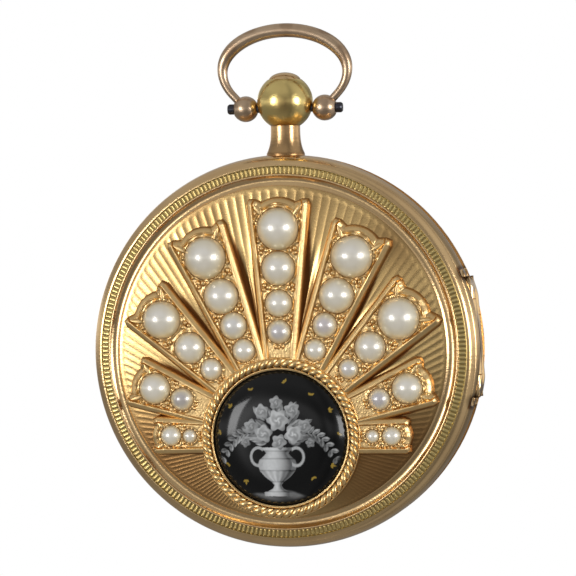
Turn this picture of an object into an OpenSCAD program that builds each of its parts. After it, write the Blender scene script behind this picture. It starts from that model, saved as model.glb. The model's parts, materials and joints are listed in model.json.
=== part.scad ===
// Lady's key-wound watch in a pearl-set gold case, hanging from its bow.
// Millimetres. Origin: the inside top of the bow, where a hook carries the watch.
// +Z points up, the pearl-set back faces -Y, the crystal faces +Y.
// Inside the case, pieces are drawn in the case's own plan: x to the right,
// y towards the pendant and z towards the back cover, all from the case's centre.

/* [Case] */
// Outer radius of the two covers
case_r = 24.5; // [24:0.1:26]
// Width of the rounded rim outside the milled band
rim_w = 1.45; // [1.2:0.05:1.7]
// Width of the milled band
milled_w = 0.95; // [0.7:0.05:1.2]
// Width of the bright bead inside the milled band
bead_w = 0.3; // [0.2:0.05:0.4]
// Width of the hollow cove inside the bead
cove_w = 1.2; // [0.9:0.05:1.5]
// Depth of the hollow cove
cove_depth = 0.3; // [0.1:0.05:0.4]
// How far the middle band stands inside the covers
band_inset = 0.2; // [0.1:0.05:0.3]
// Where the back cover meets the band, behind the case's middle plane
back_joint = 1.2; // [1.1:0.05:1.4]
// Where the bezel meets the band, in front of the middle plane
front_joint = 1.4; // [1.3:0.05:1.6]
// Gap between a closed cover and the band
joint_gap = 0.05; // [0.03:0.01:0.08]
// Height of the lips that the covers snap over
lip_h = 0.55; // [0.4:0.05:0.6]
// Thickness of the lips
lip_w = 0.6; // [0.5:0.05:0.7]
// Clearance between a lip and the cover round it
lip_gap = 0.1; // [0.06:0.01:0.15]
// Wall of the back cover
cover_wall = 0.75; // [0.6:0.05:0.9]
// Rise of the domed field from its edge to its middle
dome_rise = 1.0; // [0.6:0.1:1.3]
// Wall of the inner cover
cuvette_wall = 0.35; // [0.3:0.05:0.5]
// Space between the inner cover and the back cover
cuvette_gap = 0.2; // [0.15:0.05:0.3]

/* [Bow and pendant] */
// Height of the pendant ball's centre over the edge of the case
ball_rise = 6.6; // [6.4:0.1:7.2]
// Radius of the pendant ball
ball_r = 3.5; // [3.3:0.05:3.7]
// How far the bow's pivot lies below the ball's centre
pivot_drop = 0.8; // [0.6:0.05:1.1]
// Radius of the balls at the ends of the bow
bow_ball_r = 1.62; // [1.5:0.02:1.7]
// Space between the pendant ball and a bow ball
bow_gap = 0.05; // [0.03:0.01:0.1]
// Half width of the bow, at the middle of its wire
bow_half_w = 7.95; // [7.8:0.05:8.4]
// Height of the bow's widest place over the pivot
bow_wide_h = 4.75; // [4.5:0.05:5]
// Rise of the wire from its widest place to its top
bow_rise = 5.0; // [4.8:0.05:5.4]
// Fall of the curve under its widest place
bow_fall = 5.5; // [5.3:0.05:5.6]
// Diameter of the wire at its top
wire_top_d = 1.75; // [1.5:0.05:1.9]
// Diameter of the wire at its ends
wire_end_d = 1.0; // [0.9:0.05:1.2]
// Shank radius of the bow screws
bow_screw_r = 0.5; // [0.45:0.01:0.55]
// Running clearance of the bow on its screws
pivot_gap = 0.05; // [0.03:0.01:0.08]
// Head radius of the bow screws
bow_head_r = 0.65; // [0.62:0.01:0.75]
// Head length of the bow screws
bow_head_l = 0.85; // [0.7:0.05:1]
// Neck radius under the ball
neck_r = 1.85; // [1.7:0.05:2]
// Neck radius where it flares out over the case
flare_r = 2.4; // [2.2:0.05:2.6]
// Radius of the pendant's root inside the band
root_r = 1.0; // [0.9:0.02:1.05]
// Radius of the push piece's cap
cap_r = 2.05; // [1.9:0.05:2.2]
// Height of the cap's dome over its side
cap_dome = 1.15; // [1:0.05:1.3]
// Height of the cap's side
cap_side = 0.55; // [0.5:0.05:0.6]
// Travel of the push piece
push_travel = 0.9; // [0.7:0.05:1]
// Radius of the plunger under the cap
plunger_r = 0.55; // [0.5:0.01:0.6]
// Clearance round the cap and the plunger
plunger_gap = 0.05; // [0.03:0.01:0.08]

/* [Hinges] */
// How far the hinge pins lie inside the edge of the case
hinge_in = 1.0; // [0.95:0.05:1.1]
// Angle of the hinges over the three o'clock line
hinge_angle = 4; // [0:1:8]
// Radius of the knuckles
knuckle_r = 0.75; // [0.65:0.01:0.8]
// Length of the row of knuckles
hinge_l = 15; // [14.5:0.5:17]
// How far the outer knuckles may stand proud of the case's edge
hinge_proud = 0.25; // [0.2:0.05:0.4]
// Length of the opening beyond each end of the knuckles
notch_end = 1.0; // [0.8:0.1:1.2]
// Radius of the hinge pins
pin_r = 0.32; // [0.28:0.01:0.35]
// Running clearance on the hinge pins
pin_gap = 0.03; // [0.02:0.01:0.05]
// Space between two knuckles
knuckle_gap = 0.1; // [0.06:0.01:0.15]
// Free space round the knuckles
notch_gap = 0.2; // [0.15:0.01:0.25]

/* [Decoration] */
// How far the medallion's centre lies below the case's centre, as a share of the case's radius
medallion_share = 0.4286; // [0.41:0.005:0.435]
// Radius of the enamel, as a share of the case's radius
enamel_share = 0.3429; // [0.33:0.005:0.35]
// Width of the rope ring
rope_w = 1.6; // [1.3:0.1:1.8]
// Height of the enamel's edge over the edge of the field
enamel_edge_h = 1.4; // [1.2:0.1:1.6]
// Rise of the enamel's dome
enamel_rise = 1.4; // [1:0.1:1.8]
// Height of the ray settings' tops over the edge of the field
ray_h = 1.5; // [1.4:0.05:1.7]
// Depth of the beds that hold the pearls
bed_depth = 0.35; // [0.25:0.05:0.4]
// Width of the bright edge round a bed
ray_edge_w = 0.3; // [0.2:0.05:0.35]
// Half width of a ray at the rope ring
ray_foot_w = 1.6; // [1.5:0.05:1.7]
// Room beside the largest pearl of a ray
ray_side_w = 0.45; // [0.4:0.05:0.5]
// Room beyond the largest pearl of a ray
ray_end_w = 0.65; // [0.5:0.05:0.75]
// Height of a half pearl as a share of its diameter
pearl_rise = 0.42; // [0.35:0.01:0.48]

/* [Dial side] */
// How far the dial's edge lies inside the edge of the case
dial_margin = 3.6; // [3.5:0.05:3.9]
// Thickness of the dial
dial_t = 0.5; // [0.4:0.05:0.6]
// How far the bezel laps over the dial
dial_lap = 1.0; // [0.7:0.1:1.4]
// Height of the crystal from its seat to its flat top
crystal_h = 1.65; // [1.5:0.05:2]
// Thickness of the crystal
crystal_t = 0.5; // [0.4:0.05:0.6]
// Width of the slope round the crystal's flat top
crystal_slope_w = 1.7; // [1.3:0.1:2.9]
// How far the minute hand ends inside the bezel
minute_short = 2.7; // [1.5:0.1:4]
// Length of the hour hand as a share of the minute hand's
hour_share = 0.6686; // [0.6:0.01:0.75]
// Thickness of a hand
hand_t = 0.2; // [0.15:0.01:0.25]
// Space between the dial, the hands and the crystal's seat
hand_gap = 0.2; // [0.15:0.05:0.3]

/* [Movement] */
// How far the main plate's edge lies inside the edge of the case
plate_margin = 2.9; // [2.8:0.05:3]
// Thickness of the main plate
plate_t = 1.2; // [1:0.1:1.4]
// Space between the main plate and the dial
motion_h = 1.2; // [1.2:0.05:1.4]
// Space between the main plate and the bars
train_h = 3.25; // [3.2:0.05:3.5]
// Thickness of the bars
bar_t = 0.75; // [0.6:0.05:0.9]
// Width of the bars
bar_w = 2.2; // [2:0.1:2.4]
// Radius of the bars' feet
foot_r = 1.3; // [1.2:0.05:1.4]
// Space over the bars for the ratchet, its square and the regulator
key_room = 0.8; // [0.8:0.05:1]
// Radius of the pivots
pivot_r = 0.15; // [0.12:0.01:0.18]
// Running clearance of the pivots
pivot_play = 0.02; // [0.01:0.01:0.04]
// Radius of the wheels' arbors
arbor_r = 0.25; // [0.22:0.01:0.26]
// Thickness of a wheel
wheel_t = 0.2; // [0.15:0.01:0.25]
// Leaf height of a pinion
pinion_h = 0.4; // [0.35:0.01:0.45]
// Radius of the main plate, counted in modules of the barrel's teeth
plate_modules = 108; // [106:1:110]
// Module of the third wheel's teeth, as a share of the barrel's
third_module_share = 0.85; // [0.83:0.01:0.87]
// Module of the fourth wheel's teeth, as a share of the barrel's
fourth_module_share = 0.75; // [0.73:0.01:0.77]
// Radius of the barrel's drum, in modules of its teeth
drum_modules = 37.5; // [36.5:0.25:38]
// Height of the barrel
barrel_h = 2.4; // [2.2:0.05:2.4]
// Radius of the balance wheel, in modules of the barrel's teeth
balance_modules = 30; // [28:0.5:30.5]
// Radius of the balance's cylinder
cylinder_r = 0.45; // [0.4:0.01:0.5]
// Radius of the escape wheel's tooth tips, in modules of the barrel's teeth
escape_modules = 16.25; // [15.5:0.25:16.5]
// Radius of the small screws
screw_r = 0.4; // [0.35:0.01:0.45]
// Radius of the small screws' heads
head_r = 0.7; // [0.6:0.05:0.8]
// Height of the small screws' heads
head_h = 0.3; // [0.2:0.05:0.35]

/* [Hidden] */

fine = 96;
small = 32;
eps = 0.01;

// Heights over the case's centre, along the pendant
ball_h = case_r + ball_rise;
pivot_h = ball_h - pivot_drop;
case_drop = pivot_h + bow_wide_h + bow_rise - wire_top_d / 2;
bow_ball_x = sqrt(pow(ball_r + bow_ball_r, 2) - pow(pivot_drop, 2));
bow_inner_x = ball_r + bow_gap;
bow_outer_x = bow_ball_x + bow_ball_r - 0.2;
screw_inner_x = plunger_r + plunger_gap + 1;
wire_end_angle = 124;
cap_seat_r = cap_r + plunger_gap;
ball_top_r = cap_seat_r + 0.3;
ball_top_h = ball_h + sqrt(pow(ball_r, 2) - pow(ball_top_r, 2));
cap_bottom_h = ball_top_h - cap_side;
neck_top_h = ball_h - sqrt(pow(ball_r, 2) - pow(neck_r, 2));
flare_h = case_r + 0.15;
plunger_end_h = case_r - 2.75;

// Radii across the back cover
milled_out_r = case_r - rim_w;
milled_in_r = milled_out_r - milled_w;
bead_in_r = milled_in_r - bead_w;
field_r = bead_in_r - cove_w;
band_r = case_r - band_inset;
lip_out_r = case_r - 1.4;
lip_in_r = lip_out_r - lip_w;
recess_r = lip_out_r + lip_gap;
cuvette_r = lip_in_r - 0.15;
band_in_r = case_r - 2.5;
hinge_d = case_r - hinge_in;
medallion_drop = case_r * medallion_share;
enamel_r = case_r * enamel_share;
plate_r = case_r - plate_margin;
module_a = plate_r / plate_modules;
module_b = module_a * third_module_share;
module_c = module_a * fourth_module_share;
module_minute = module_a * 0.625;
drum_r = module_a * drum_modules;
balance_r = module_a * balance_modules;
escape_r = module_a * escape_modules;
dial_r = case_r - dial_margin;
sight_r = dial_r - dial_lap;
crystal_flat_r = sight_r - crystal_slope_w;
minute_l = sight_r - minute_short;
hour_l = minute_l * hour_share;
ledge_w = 1.2;
ledge_t = 0.5;

// Depths along the case's axis, from its middle plane
seat_z = -front_joint - 0.1;
plate_front = seat_z - plate_t;
dial_back = plate_front - motion_h;
dial_front = dial_back - dial_t;
hour_z = dial_front - hand_gap - hand_t;
minute_z = hour_z - hand_gap - hand_t;
flange_z = dial_front - 0.15;
crystal_seat = flange_z - 0.3;
crystal_top = crystal_seat - crystal_h;
bar_z = seat_z + train_h;
bar_top = bar_z + bar_t;
cuvette_z = bar_top + key_room;
cuvette_top = cuvette_z + cuvette_wall;
key_hole_r = 1.5;
cover_in = cuvette_top + cuvette_gap;
field_z = cover_in + cover_wall;
milled_z = field_z - 0.35;
ray_top = field_z + ray_h;
bed_z = ray_top - bed_depth;

// Teeth, and the plan of the train round the centre wheel
barrel_n = 80;
centre_pinion_n = 10;
centre_n = 60;
third_pinion_n = 8;
third_n = 56;
fourth_pinion_n = 7;
fourth_n = 60;
escape_pinion_n = 6;
cannon_n = 12;
minute_n = 36;
minute_pinion_n = 10;
hour_n = 40;
escape_n = 15;
ratchet_n = 24;
ratchet_r = 2.6;
module_hour = module_minute * (cannon_n + minute_n) / (minute_pinion_n + hour_n);

function polar(d, a) = [d * cos(a), d * sin(a)];
function direction(from, to) = atan2(to[1] - from[1], to[0] - from[0]);

barrel_angle = 150;
fourth_angle = -70;
balance_angle = -62;
barrel_reach = module_a * (barrel_n + centre_pinion_n) / 2;
third_reach = module_a * (centre_n + third_pinion_n) / 2;
fourth_reach = module_b * (third_n + fourth_pinion_n) / 2;
escape_reach = module_c * (fourth_n + escape_pinion_n) / 2;
balance_reach = escape_r + cylinder_r + 0.1;
centre_at = [0, 0];
barrel_at = polar(barrel_reach, barrel_angle);
third_at = polar(third_reach, 0);
fourth_at = third_at + polar(fourth_reach, fourth_angle);
balance_at = polar(third_reach + balance_r, balance_angle);
fourth_to_balance = norm(balance_at - fourth_at);
// The escape wheel's place closes the triangle of the fourth wheel and the balance
escape_corner = acos((pow(fourth_to_balance, 2) + pow(escape_reach, 2) - pow(balance_reach, 2))
    / (2 * fourth_to_balance * escape_reach));
escape_at = fourth_at + polar(escape_reach, direction(fourth_at, balance_at) + escape_corner);
minute_at = polar(module_minute * (cannon_n + minute_n) / 2, -100);

// Feet of the bars, each outside the wheels that turn beside it
foot_gap = 0.7;
bridge_reach = module_a * (barrel_n / 2 + 1) + foot_r + 0.3;
bridge_foot_a = barrel_at + polar(bridge_reach, barrel_angle - 90);
bridge_foot_b = barrel_at + polar(bridge_reach, barrel_angle + 90);
centre_foot = polar(module_a * (centre_n / 2 + 1) + foot_r + foot_gap + 0.4, 60);
third_foot = third_at + polar(module_b * (third_n / 2 + 1) + foot_r + foot_gap, 20);
fourth_foot = fourth_at + polar(module_c * (fourth_n / 2 + 1) + foot_r + foot_gap, -5);
escape_foot = escape_at + polar(escape_r + foot_r + foot_gap / 2, -20);
balance_foot = balance_at + polar(balance_r + foot_r + foot_gap, 180);

// Levels of the train, over the main plate
barrel_z = seat_z + 0.3;
centre_z = seat_z + 2.8;
third_z = seat_z + 2.0;
fourth_z = seat_z + 1.4;
escape_z = seat_z + 0.6;
escape_bar_z = seat_z + 1.95;
escape_bar_t = 0.5;
balance_z = seat_z + 2.65;
balance_t = 0.3;
cock_z = bar_z + 0.25;
cock_t = 0.6;
regulator_t = 0.2;
cock_boss_r = 0.7;
pivot_l = 0.7;

// Each ray: its angle from the vertical, then its pearls as [distance from the
// medallion's centre, diameter], both as shares of the case's radius, largest first
function of_case(shares) = [for (pearl = shares) pearl * case_r];
ray_centre = [0, of_case([[1.053, 0.214], [0.853, 0.173], [0.678, 0.139], [0.535, 0.122]])];
ray_left_1 = [-22.5, of_case([[0.984, 0.214], [0.773, 0.180], [0.612, 0.139], [0.478, 0.118]])];
ray_left_2 = [-45.5, of_case([[0.853, 0.194], [0.649, 0.160], [0.494, 0.112]])];
ray_left_3 = [-69, of_case([[0.694, 0.159], [0.543, 0.118]])];
ray_left_4 = [-89, of_case([[0.567, 0.106], [0.469, 0.073]])];
ray_right_1 = [22.5, of_case([[0.984, 0.214], [0.773, 0.180], [0.612, 0.127], [0.478, 0.112]])];
ray_right_2 = [45.5, of_case([[0.853, 0.214], [0.649, 0.159], [0.494, 0.102]])];
ray_right_3 = [69, of_case([[0.694, 0.155], [0.543, 0.112]])];
ray_right_4 = [89, of_case([[0.567, 0.098], [0.469, 0.069]])];

gold = [0.80, 0.62, 0.36];
rose_gold = [0.82, 0.60, 0.42];
olive_gold = [0.74, 0.62, 0.36];
gilt = [0.80, 0.66, 0.34];
pearl_white = [0.91, 0.88, 0.82];
steel = [0.55, 0.56, 0.58];
blued = [0.16, 0.20, 0.36];
enamel_black = [0.05, 0.05, 0.06];
enamel_white = [0.94, 0.93, 0.90];
clear_glass = [0.85, 0.92, 0.95, 0.35];

// The case's plan, set upright under the hanging point
module in_case() {
    translate([0, 0, -case_drop]) rotate([90, 0, 0]) children();
}

// A place in the plan at a depth
module at(place, z) {
    translate([place[0], place[1], z]) children();
}

// The back hinge's frame: x outwards, y along the pin, z towards the back cover
module at_back_hinge() {
    rotate([0, 0, hinge_angle]) translate([hinge_d, 0, back_joint]) children();
}

// The front hinge's frame: the same, with z towards the crystal
module at_front_hinge() {
    rotate([0, 0, hinge_angle]) translate([hinge_d, 0, -front_joint]) mirror([0, 0, 1]) children();
}

// A round bar along a hinge's pin, between two places on it
module along_pin(from, to, r) {
    translate([0, from, 0]) rotate([-90, 0, 0]) cylinder(r = r, h = to - from, $fn = small);
}

// A hinge's y-z box, from one corner to the other
module block(low, high) {
    translate(low) cube(high - low);
}

pin_bore_r = pin_r + pin_gap;
half_hinge = hinge_l / 2;
notch_r = knuckle_r + notch_gap;
notch_l = half_hinge + notch_end;
// Back hinge: band, cover, inner cover, cover, band
back_k1 = hinge_l * 0.31;
back_k2 = hinge_l * 0.105;
// Front hinge: band, bezel, band
front_k = hinge_l * 0.17;

// Knuckle on a leaf that reaches up from the pin into a cover
module cover_knuckle(from, to) {
    along_pin(from, to, knuckle_r);
    block([-knuckle_r + 0.05, from, 0.2], [0.45, to, notch_r + 0.3]);
}

// Knuckle on a leaf that reaches down from the pin into the band
module band_knuckle(from, to) {
    along_pin(from, to, knuckle_r);
    block([-1.4, from, -notch_r - 0.25], [0.5, to, -0.2]);
}

// Free space of a hinge, taken out of a cover
module cover_notch() {
    along_pin(-notch_l, notch_l, notch_r);
    block([0, -notch_l, -0.5], [2, notch_l, notch_r]);
}

// Free space of a hinge, taken out of the band with its lip
module band_notch() {
    along_pin(-notch_l, notch_l, notch_r);
    block([-2.4, -notch_l, 0], [1.2, notch_l, lip_h + 0.5]);
}

module pin_bore() {
    along_pin(-half_hinge - 1, half_hinge + 1, pin_bore_r);
}

// The back cover's outer line, from the case's axis to the joint
function arc_z(r, reach, rise) = let(big = (reach * reach + rise * rise) / (2 * rise))
    sqrt(big * big - r * r) - big + rise;
dome_line = [for (i = [0:10])
    [field_r * i / 10, field_z + arc_z(field_r * i / 10, field_r, dome_rise)]];
cove_line = [for (i = [1:5]) [field_r + cove_w * i / 6, field_z - 0.05 - cove_depth * sin(30 * i)]];
bead_line = [for (i = [0:4]) [bead_in_r + bead_w * i / 4, milled_z + 0.2 + 0.12 * sin(45 * i)]];
rim_line = [for (i = [0:8]) [
    milled_out_r + rim_w * sin(i * 90 / 8),
    back_joint + joint_gap + (milled_z - back_joint - joint_gap) * cos(i * 90 / 8)]];
cover_line = concat(dome_line, cove_line, bead_line, [[milled_in_r, milled_z + 0.1]], rim_line);

// Everything under the back cover's outer surface
module under_cover() {
    rotate_extrude($fn = fine) polygon(concat(cover_line, [[0, back_joint + joint_gap]]));
}

// The bow's line from its top to the far pole of its right ball, as rings:
// [middle, direction, radius], the middle and direction in x and z from the pivot
function wire_at(a) = [
    bow_half_w * sin(a),
    bow_wide_h + (abs(a) < 90 ? bow_rise : bow_fall) * cos(a)];
function wire_r(a) = (wire_top_d + (wire_end_d - wire_top_d)
    * (1 - cos(a)) / (1 - cos(wire_end_angle))) / 2;
wire_steps = 16;
ball_steps = 10;
into_ball = [bow_ball_x, 0] - wire_at(wire_end_angle);
ball_dir = into_ball / norm(into_ball);
ball_from = asin(wire_end_d / 2 / bow_ball_r);
ball_flat_r = sqrt(pow(bow_ball_r, 2) - pow(bow_outer_x - bow_ball_x, 2)) + 0.05;
wire_rings = [for (i = [1:wire_steps]) let(
    a = wire_end_angle * i / wire_steps, step = wire_at(a + 0.5) - wire_at(a - 0.5))
    [wire_at(a), step / norm(step), wire_r(a)]];
ball_rings = [for (i = [0:ball_steps]) let(a = ball_from + (168 - ball_from) * i / ball_steps)
    [[bow_ball_x, 0] - ball_dir * bow_ball_r * cos(a), ball_dir, bow_ball_r * sin(a)]];
right_rings = concat(wire_rings, ball_rings);
left_rings = [for (i = [len(right_rings) - 1:-1:0]) let(ring = right_rings[i])
    [[-ring[0][0], ring[0][1]], [ring[1][0], -ring[1][1]], ring[2]]];
bow_rings = concat(left_rings, [[wire_at(0), [1, 0], wire_top_d / 2]], right_rings);

module bow() {
    sides = 20;
    last = len(bow_rings) - 1;
    points = [for (ring = bow_rings, j = [0:sides - 1]) let(p = ring[0], t = ring[1], a = j * 360 / sides)
        [p[0] + ring[2] * cos(a) * t[1], ring[2] * sin(a), p[1] - ring[2] * cos(a) * t[0]]];
    faces = concat(
        [[for (j = [0:sides - 1]) j]],
        [for (i = [0:last - 1], j = [0:sides - 1])
            [i * sides + j, (i + 1) * sides + j, (i + 1) * sides + (j + 1) % sides]],
        [for (i = [0:last - 1], j = [0:sides - 1])
            [i * sides + j, (i + 1) * sides + (j + 1) % sides, i * sides + (j + 1) % sides]],
        [[for (j = [sides - 1:-1:0]) last * sides + j]]);
    color(rose_gold) translate([0, 0, pivot_h - case_drop]) difference() {
        polyhedron(points, faces, convexity = 4);
        for (side = [-1, 1]) rotate([0, side * 90, 0]) {
            cylinder(r = bow_screw_r + pivot_gap, h = 12, $fn = small);
            // Each ball is flat towards the pendant and under the screw's head
            translate([-2, -2, 0]) cube([4, 4, bow_inner_x]);
            translate([0, 0, bow_outer_x]) cylinder(r = ball_flat_r, h = 2, $fn = small);
        }
    }
}

module bow_screws() {
    head_x = bow_outer_x + 0.03;
    color(blued) translate([0, 0, pivot_h - case_drop]) for (side = [-1, 1]) rotate([0, side * 90, 0])
        difference() {
            union() {
                translate([0, 0, screw_inner_x])
                    cylinder(r = bow_screw_r, h = head_x - screw_inner_x + eps, $fn = small);
                translate([0, 0, head_x]) rotate_extrude($fn = small) polygon([
                    [0, 0], [bow_head_r, 0], [bow_head_r, bow_head_l * 0.7],
                    [bow_head_r * 0.8, bow_head_l * 0.93], [0, bow_head_l]]);
            }
            translate([0, 0, head_x + bow_head_l]) cube([3, 0.2, 0.5], center = true);
        }
}

module pendant() {
    waist = [for (i = [0:8]) let(s = i / 8) [
        neck_r + (flare_r - neck_r) * s * s, neck_top_h + (flare_h - neck_top_h) * s]];
    side = [for (i = [0:24]) let(
        top = asin(ball_top_r / ball_r), low = 180 - asin(neck_r / ball_r), a = top + (low - top) * i / 24)
        [ball_r * sin(a), ball_h + ball_r * cos(a)]];
    color(olive_gold) translate([0, 0, -case_drop]) difference() {
        union() {
            rotate_extrude($fn = 64) polygon(concat([[0, ball_top_h]], side, waist, [[0, flare_h]]));
            translate([0, 0, band_r])
                cylinder(r = root_r + 0.2, h = flare_h - band_r + 0.1, $fn = small);
            translate([0, 0, band_in_r]) cylinder(r = root_r, h = 3, $fn = small);
        }
        translate([0, 0, cap_bottom_h - push_travel - 0.1]) cylinder(r = cap_seat_r, h = 6, $fn = 64);
        cylinder(r = plunger_r + plunger_gap, h = 60, $fn = small);
        for (side = [-1, 1]) translate([0, 0, pivot_h]) rotate([0, side * 90, 0])
            translate([0, 0, screw_inner_x]) cylinder(r = bow_screw_r, h = 6, $fn = small);
        // Spot faces for the bow's balls
        for (side = [-1, 1]) translate([0, 0, pivot_h]) rotate([0, side * 90, 0])
            translate([0, 0, bow_inner_x - bow_gap - 0.08]) cylinder(r = 1, h = 2, $fn = small);
    }
}

module push_piece() {
    big = (cap_r * cap_r + cap_dome * cap_dome) / (2 * cap_dome);
    top = cap_bottom_h + cap_side;
    dome = [for (i = [0:8]) let(r = cap_r * (8 - i) / 8)
        [r, top + sqrt(big * big - r * r) - big + cap_dome]];
    color(rose_gold) translate([0, 0, -case_drop]) {
        rotate_extrude($fn = 64) polygon(concat([[0, cap_bottom_h], [cap_r, cap_bottom_h]], dome));
        translate([0, 0, plunger_end_h])
            cylinder(r = plunger_r, h = cap_bottom_h - plunger_end_h + eps, $fn = small);
    }
}

// Strip spring inside the band: it bears on the plunger and holds the back cover shut
module lock_spring() {
    spring_out_r = plunger_end_h - 0.1;
    spring_in_r = spring_out_r - 0.35;
    color(blued) in_case() {
        translate([0, 0, -0.5]) rotate([0, 0, 58]) rotate_extrude(angle = 44, $fn = fine)
            translate([spring_in_r, 0]) square([spring_out_r - spring_in_r, 1.2]);
        rotate([0, 0, 58]) translate([spring_in_r, 0, -0.5]) cube([band_in_r - spring_in_r - 0.06, 1.6, 1.2]);
    }
}

module case_band() {
    line = [
        [band_in_r, back_joint], [lip_in_r, back_joint], [lip_in_r, back_joint + lip_h],
        [lip_out_r, back_joint + lip_h], [lip_out_r, back_joint],
        [band_r - 0.15, back_joint], [band_r, back_joint - 0.2], [band_r, -front_joint + 0.2],
        [band_r - 0.15, -front_joint], [lip_out_r, -front_joint],
        [lip_out_r, -front_joint - lip_h], [lip_in_r, -front_joint - lip_h],
        [lip_in_r, seat_z], [band_in_r - ledge_w, seat_z],
        [band_in_r - ledge_w, seat_z + ledge_t], [band_in_r, seat_z + ledge_t]];
    color(rose_gold) in_case() difference() {
        union() {
            difference() {
                rotate_extrude($fn = fine) polygon(line);
                at_back_hinge() band_notch();
                at_front_hinge() band_notch();
            }
            // The outer knuckles are filed to the round of the case
            intersection() {
                union() {
                    at_back_hinge() for (side = [-1, 1])
                        band_knuckle(side < 0 ? -half_hinge : back_k1 + knuckle_gap,
                            side < 0 ? -back_k1 - knuckle_gap : half_hinge);
                    at_front_hinge() for (side = [-1, 1])
                        band_knuckle(side < 0 ? -half_hinge : front_k + knuckle_gap,
                            side < 0 ? -front_k - knuckle_gap : half_hinge);
                }
                translate([0, 0, -case_r]) cylinder(r = case_r + hinge_proud, h = 2 * case_r, $fn = fine);
            }
        }
        at_back_hinge() pin_bore();
        at_front_hinge() pin_bore();
        rotate([-90, 0, 0]) cylinder(r = root_r, h = 40, $fn = small);
        for (a = case_screw_angles) at(polar(case_screw_r, a), seat_z - 1)
            cylinder(r = screw_r, h = 2, $fn = small);
    }
}

module back_hinge_pin() {
    color(steel) in_case() at_back_hinge() along_pin(-half_hinge, half_hinge, pin_r);
}

module bezel_hinge_pin() {
    color(steel) in_case() at_front_hinge() along_pin(-half_hinge, half_hinge, pin_r);
}

module back_cover() {
    inside = [
        [recess_r, back_joint + joint_gap], [recess_r, back_joint + lip_h + 0.1],
        [recess_r - 0.3, cover_in - 0.7], [recess_r - 1.1, cover_in],
        [field_r - 1, cover_in], [0, cover_in + dome_rise * 0.9]];
    color(gold) in_case() difference() {
        union() {
            difference() {
                rotate_extrude($fn = fine) polygon(concat(cover_line, inside));
                at_back_hinge() cover_notch();
            }
            at_back_hinge() cover_knuckle(-back_k1, -back_k2 - knuckle_gap);
            at_back_hinge() cover_knuckle(back_k2 + knuckle_gap, back_k1);
        }
        at_back_hinge() pin_bore();
    }
}

// Thin inner cover over the movement, with the two key holes
module cuvette() {
    low = back_joint + joint_gap;
    wall = 0.5;
    line = [
        [0, cuvette_z], [cuvette_r - wall, cuvette_z], [cuvette_r - wall, low], [cuvette_r, low],
        [cuvette_r, cuvette_top - 0.25], [cuvette_r - 0.25, cuvette_top], [0, cuvette_top]];
    reach = hinge_d - cuvette_r;
    color(gold) in_case() difference() {
        union() {
            difference() {
                rotate_extrude($fn = fine) polygon(line);
                at_back_hinge() along_pin(-notch_l, notch_l, notch_r);
            }
            at_back_hinge() along_pin(-back_k2, back_k2, knuckle_r);
            at_back_hinge() translate([0, back_k2, 0]) rotate([90, 0, 0]) linear_extrude(2 * back_k2)
                polygon([
                    [0, 0.1], [-reach - 0.45, 0.1], [-reach - 0.45, 1.8],
                    [-reach + 0.1, 1.8], [-0.5, 0.55]]);
        }
        at_back_hinge() pin_bore();
        at(barrel_at, 0) cylinder(r = key_hole_r, h = cuvette_top + 1, $fn = small);
        at(centre_at, 0) cylinder(r = key_hole_r, h = cuvette_top + 1, $fn = small);
    }
}

module bezel() {
    low = -front_joint - joint_gap;
    top = crystal_seat - 0.55;
    side = [for (i = [0:8]) [
        case_r - 2.2 + 2.2 * cos(i * 90 / 8), low - (low - top - 0.4) * sin(i * 90 / 8)]];
    inside = [
        [crystal_r + 0.6, top], [crystal_r + 0.05, top], [crystal_r + 0.05, crystal_seat],
        [sight_r, crystal_seat], [sight_r, flange_z], [dial_r + 0.4, flange_z],
        [dial_r + 0.4, plate_front - 0.2], [plate_r + 0.4, plate_front - 0.2],
        [plate_r + 0.4, -front_joint - lip_h - 0.1], [recess_r, -front_joint - lip_h - 0.1], [recess_r, low]];
    color(rose_gold) in_case() difference() {
        union() {
            difference() {
                rotate_extrude($fn = fine) polygon(concat(side, inside));
                at_front_hinge() cover_notch();
            }
            at_front_hinge() cover_knuckle(-front_k, front_k);
        }
        at_front_hinge() pin_bore();
    }
}

crystal_r = sight_r + 0.65;

module crystal() {
    shoulder = crystal_r - crystal_flat_r;
    slope = (crystal_h - crystal_t) / shoulder;
    color(clear_glass) in_case() rotate_extrude($fn = fine) polygon([
        [0, crystal_top], [crystal_flat_r, crystal_top],
        [crystal_r, crystal_top + slope * shoulder], [crystal_r, crystal_seat],
        [sight_r + 0.1, crystal_seat], [crystal_flat_r - 0.2, crystal_top + crystal_t],
        [0, crystal_top + crystal_t]]);
}

// Half width of a ray at a distance from the medallion's centre
function ray_half(pearls, d) = let(foot = enamel_r + rope_w, big = pearls[0][1] / 2 + ray_side_w)
    ray_foot_w + (big - ray_foot_w) * (d - foot) / (pearls[0][0] - foot);

// Outline of a ray, drawn in by an inset: straight sides that run out to two
// pointed tips, and a scallop round the largest pearl between them
function ray_outline(pearls, inset) = let(
    foot = enamel_r - 0.5,
    d = pearls[0][0],
    arch_r = pearls[0][1] / 2 + ray_end_w - inset,
    tip_d = d + arch_r - 0.15,
    tip_w = ray_half(pearls, tip_d) - inset * 0.8)
    concat(
        [[ray_half(pearls, foot) - inset, foot]],
        [[tip_w, tip_d]],
        [for (i = [0:8]) let(a = 52 + 76 * i / 8) [arch_r * cos(a), d + arch_r * sin(a)]],
        [[-tip_w, tip_d]],
        [[-ray_half(pearls, foot) + inset, foot]]);

// Turns the plan to a ray: y then runs outwards from the medallion's centre
module along_ray(ray) {
    in_case() translate([0, -medallion_drop, 0]) rotate([0, 0, -ray[0]]) children();
}

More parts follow.
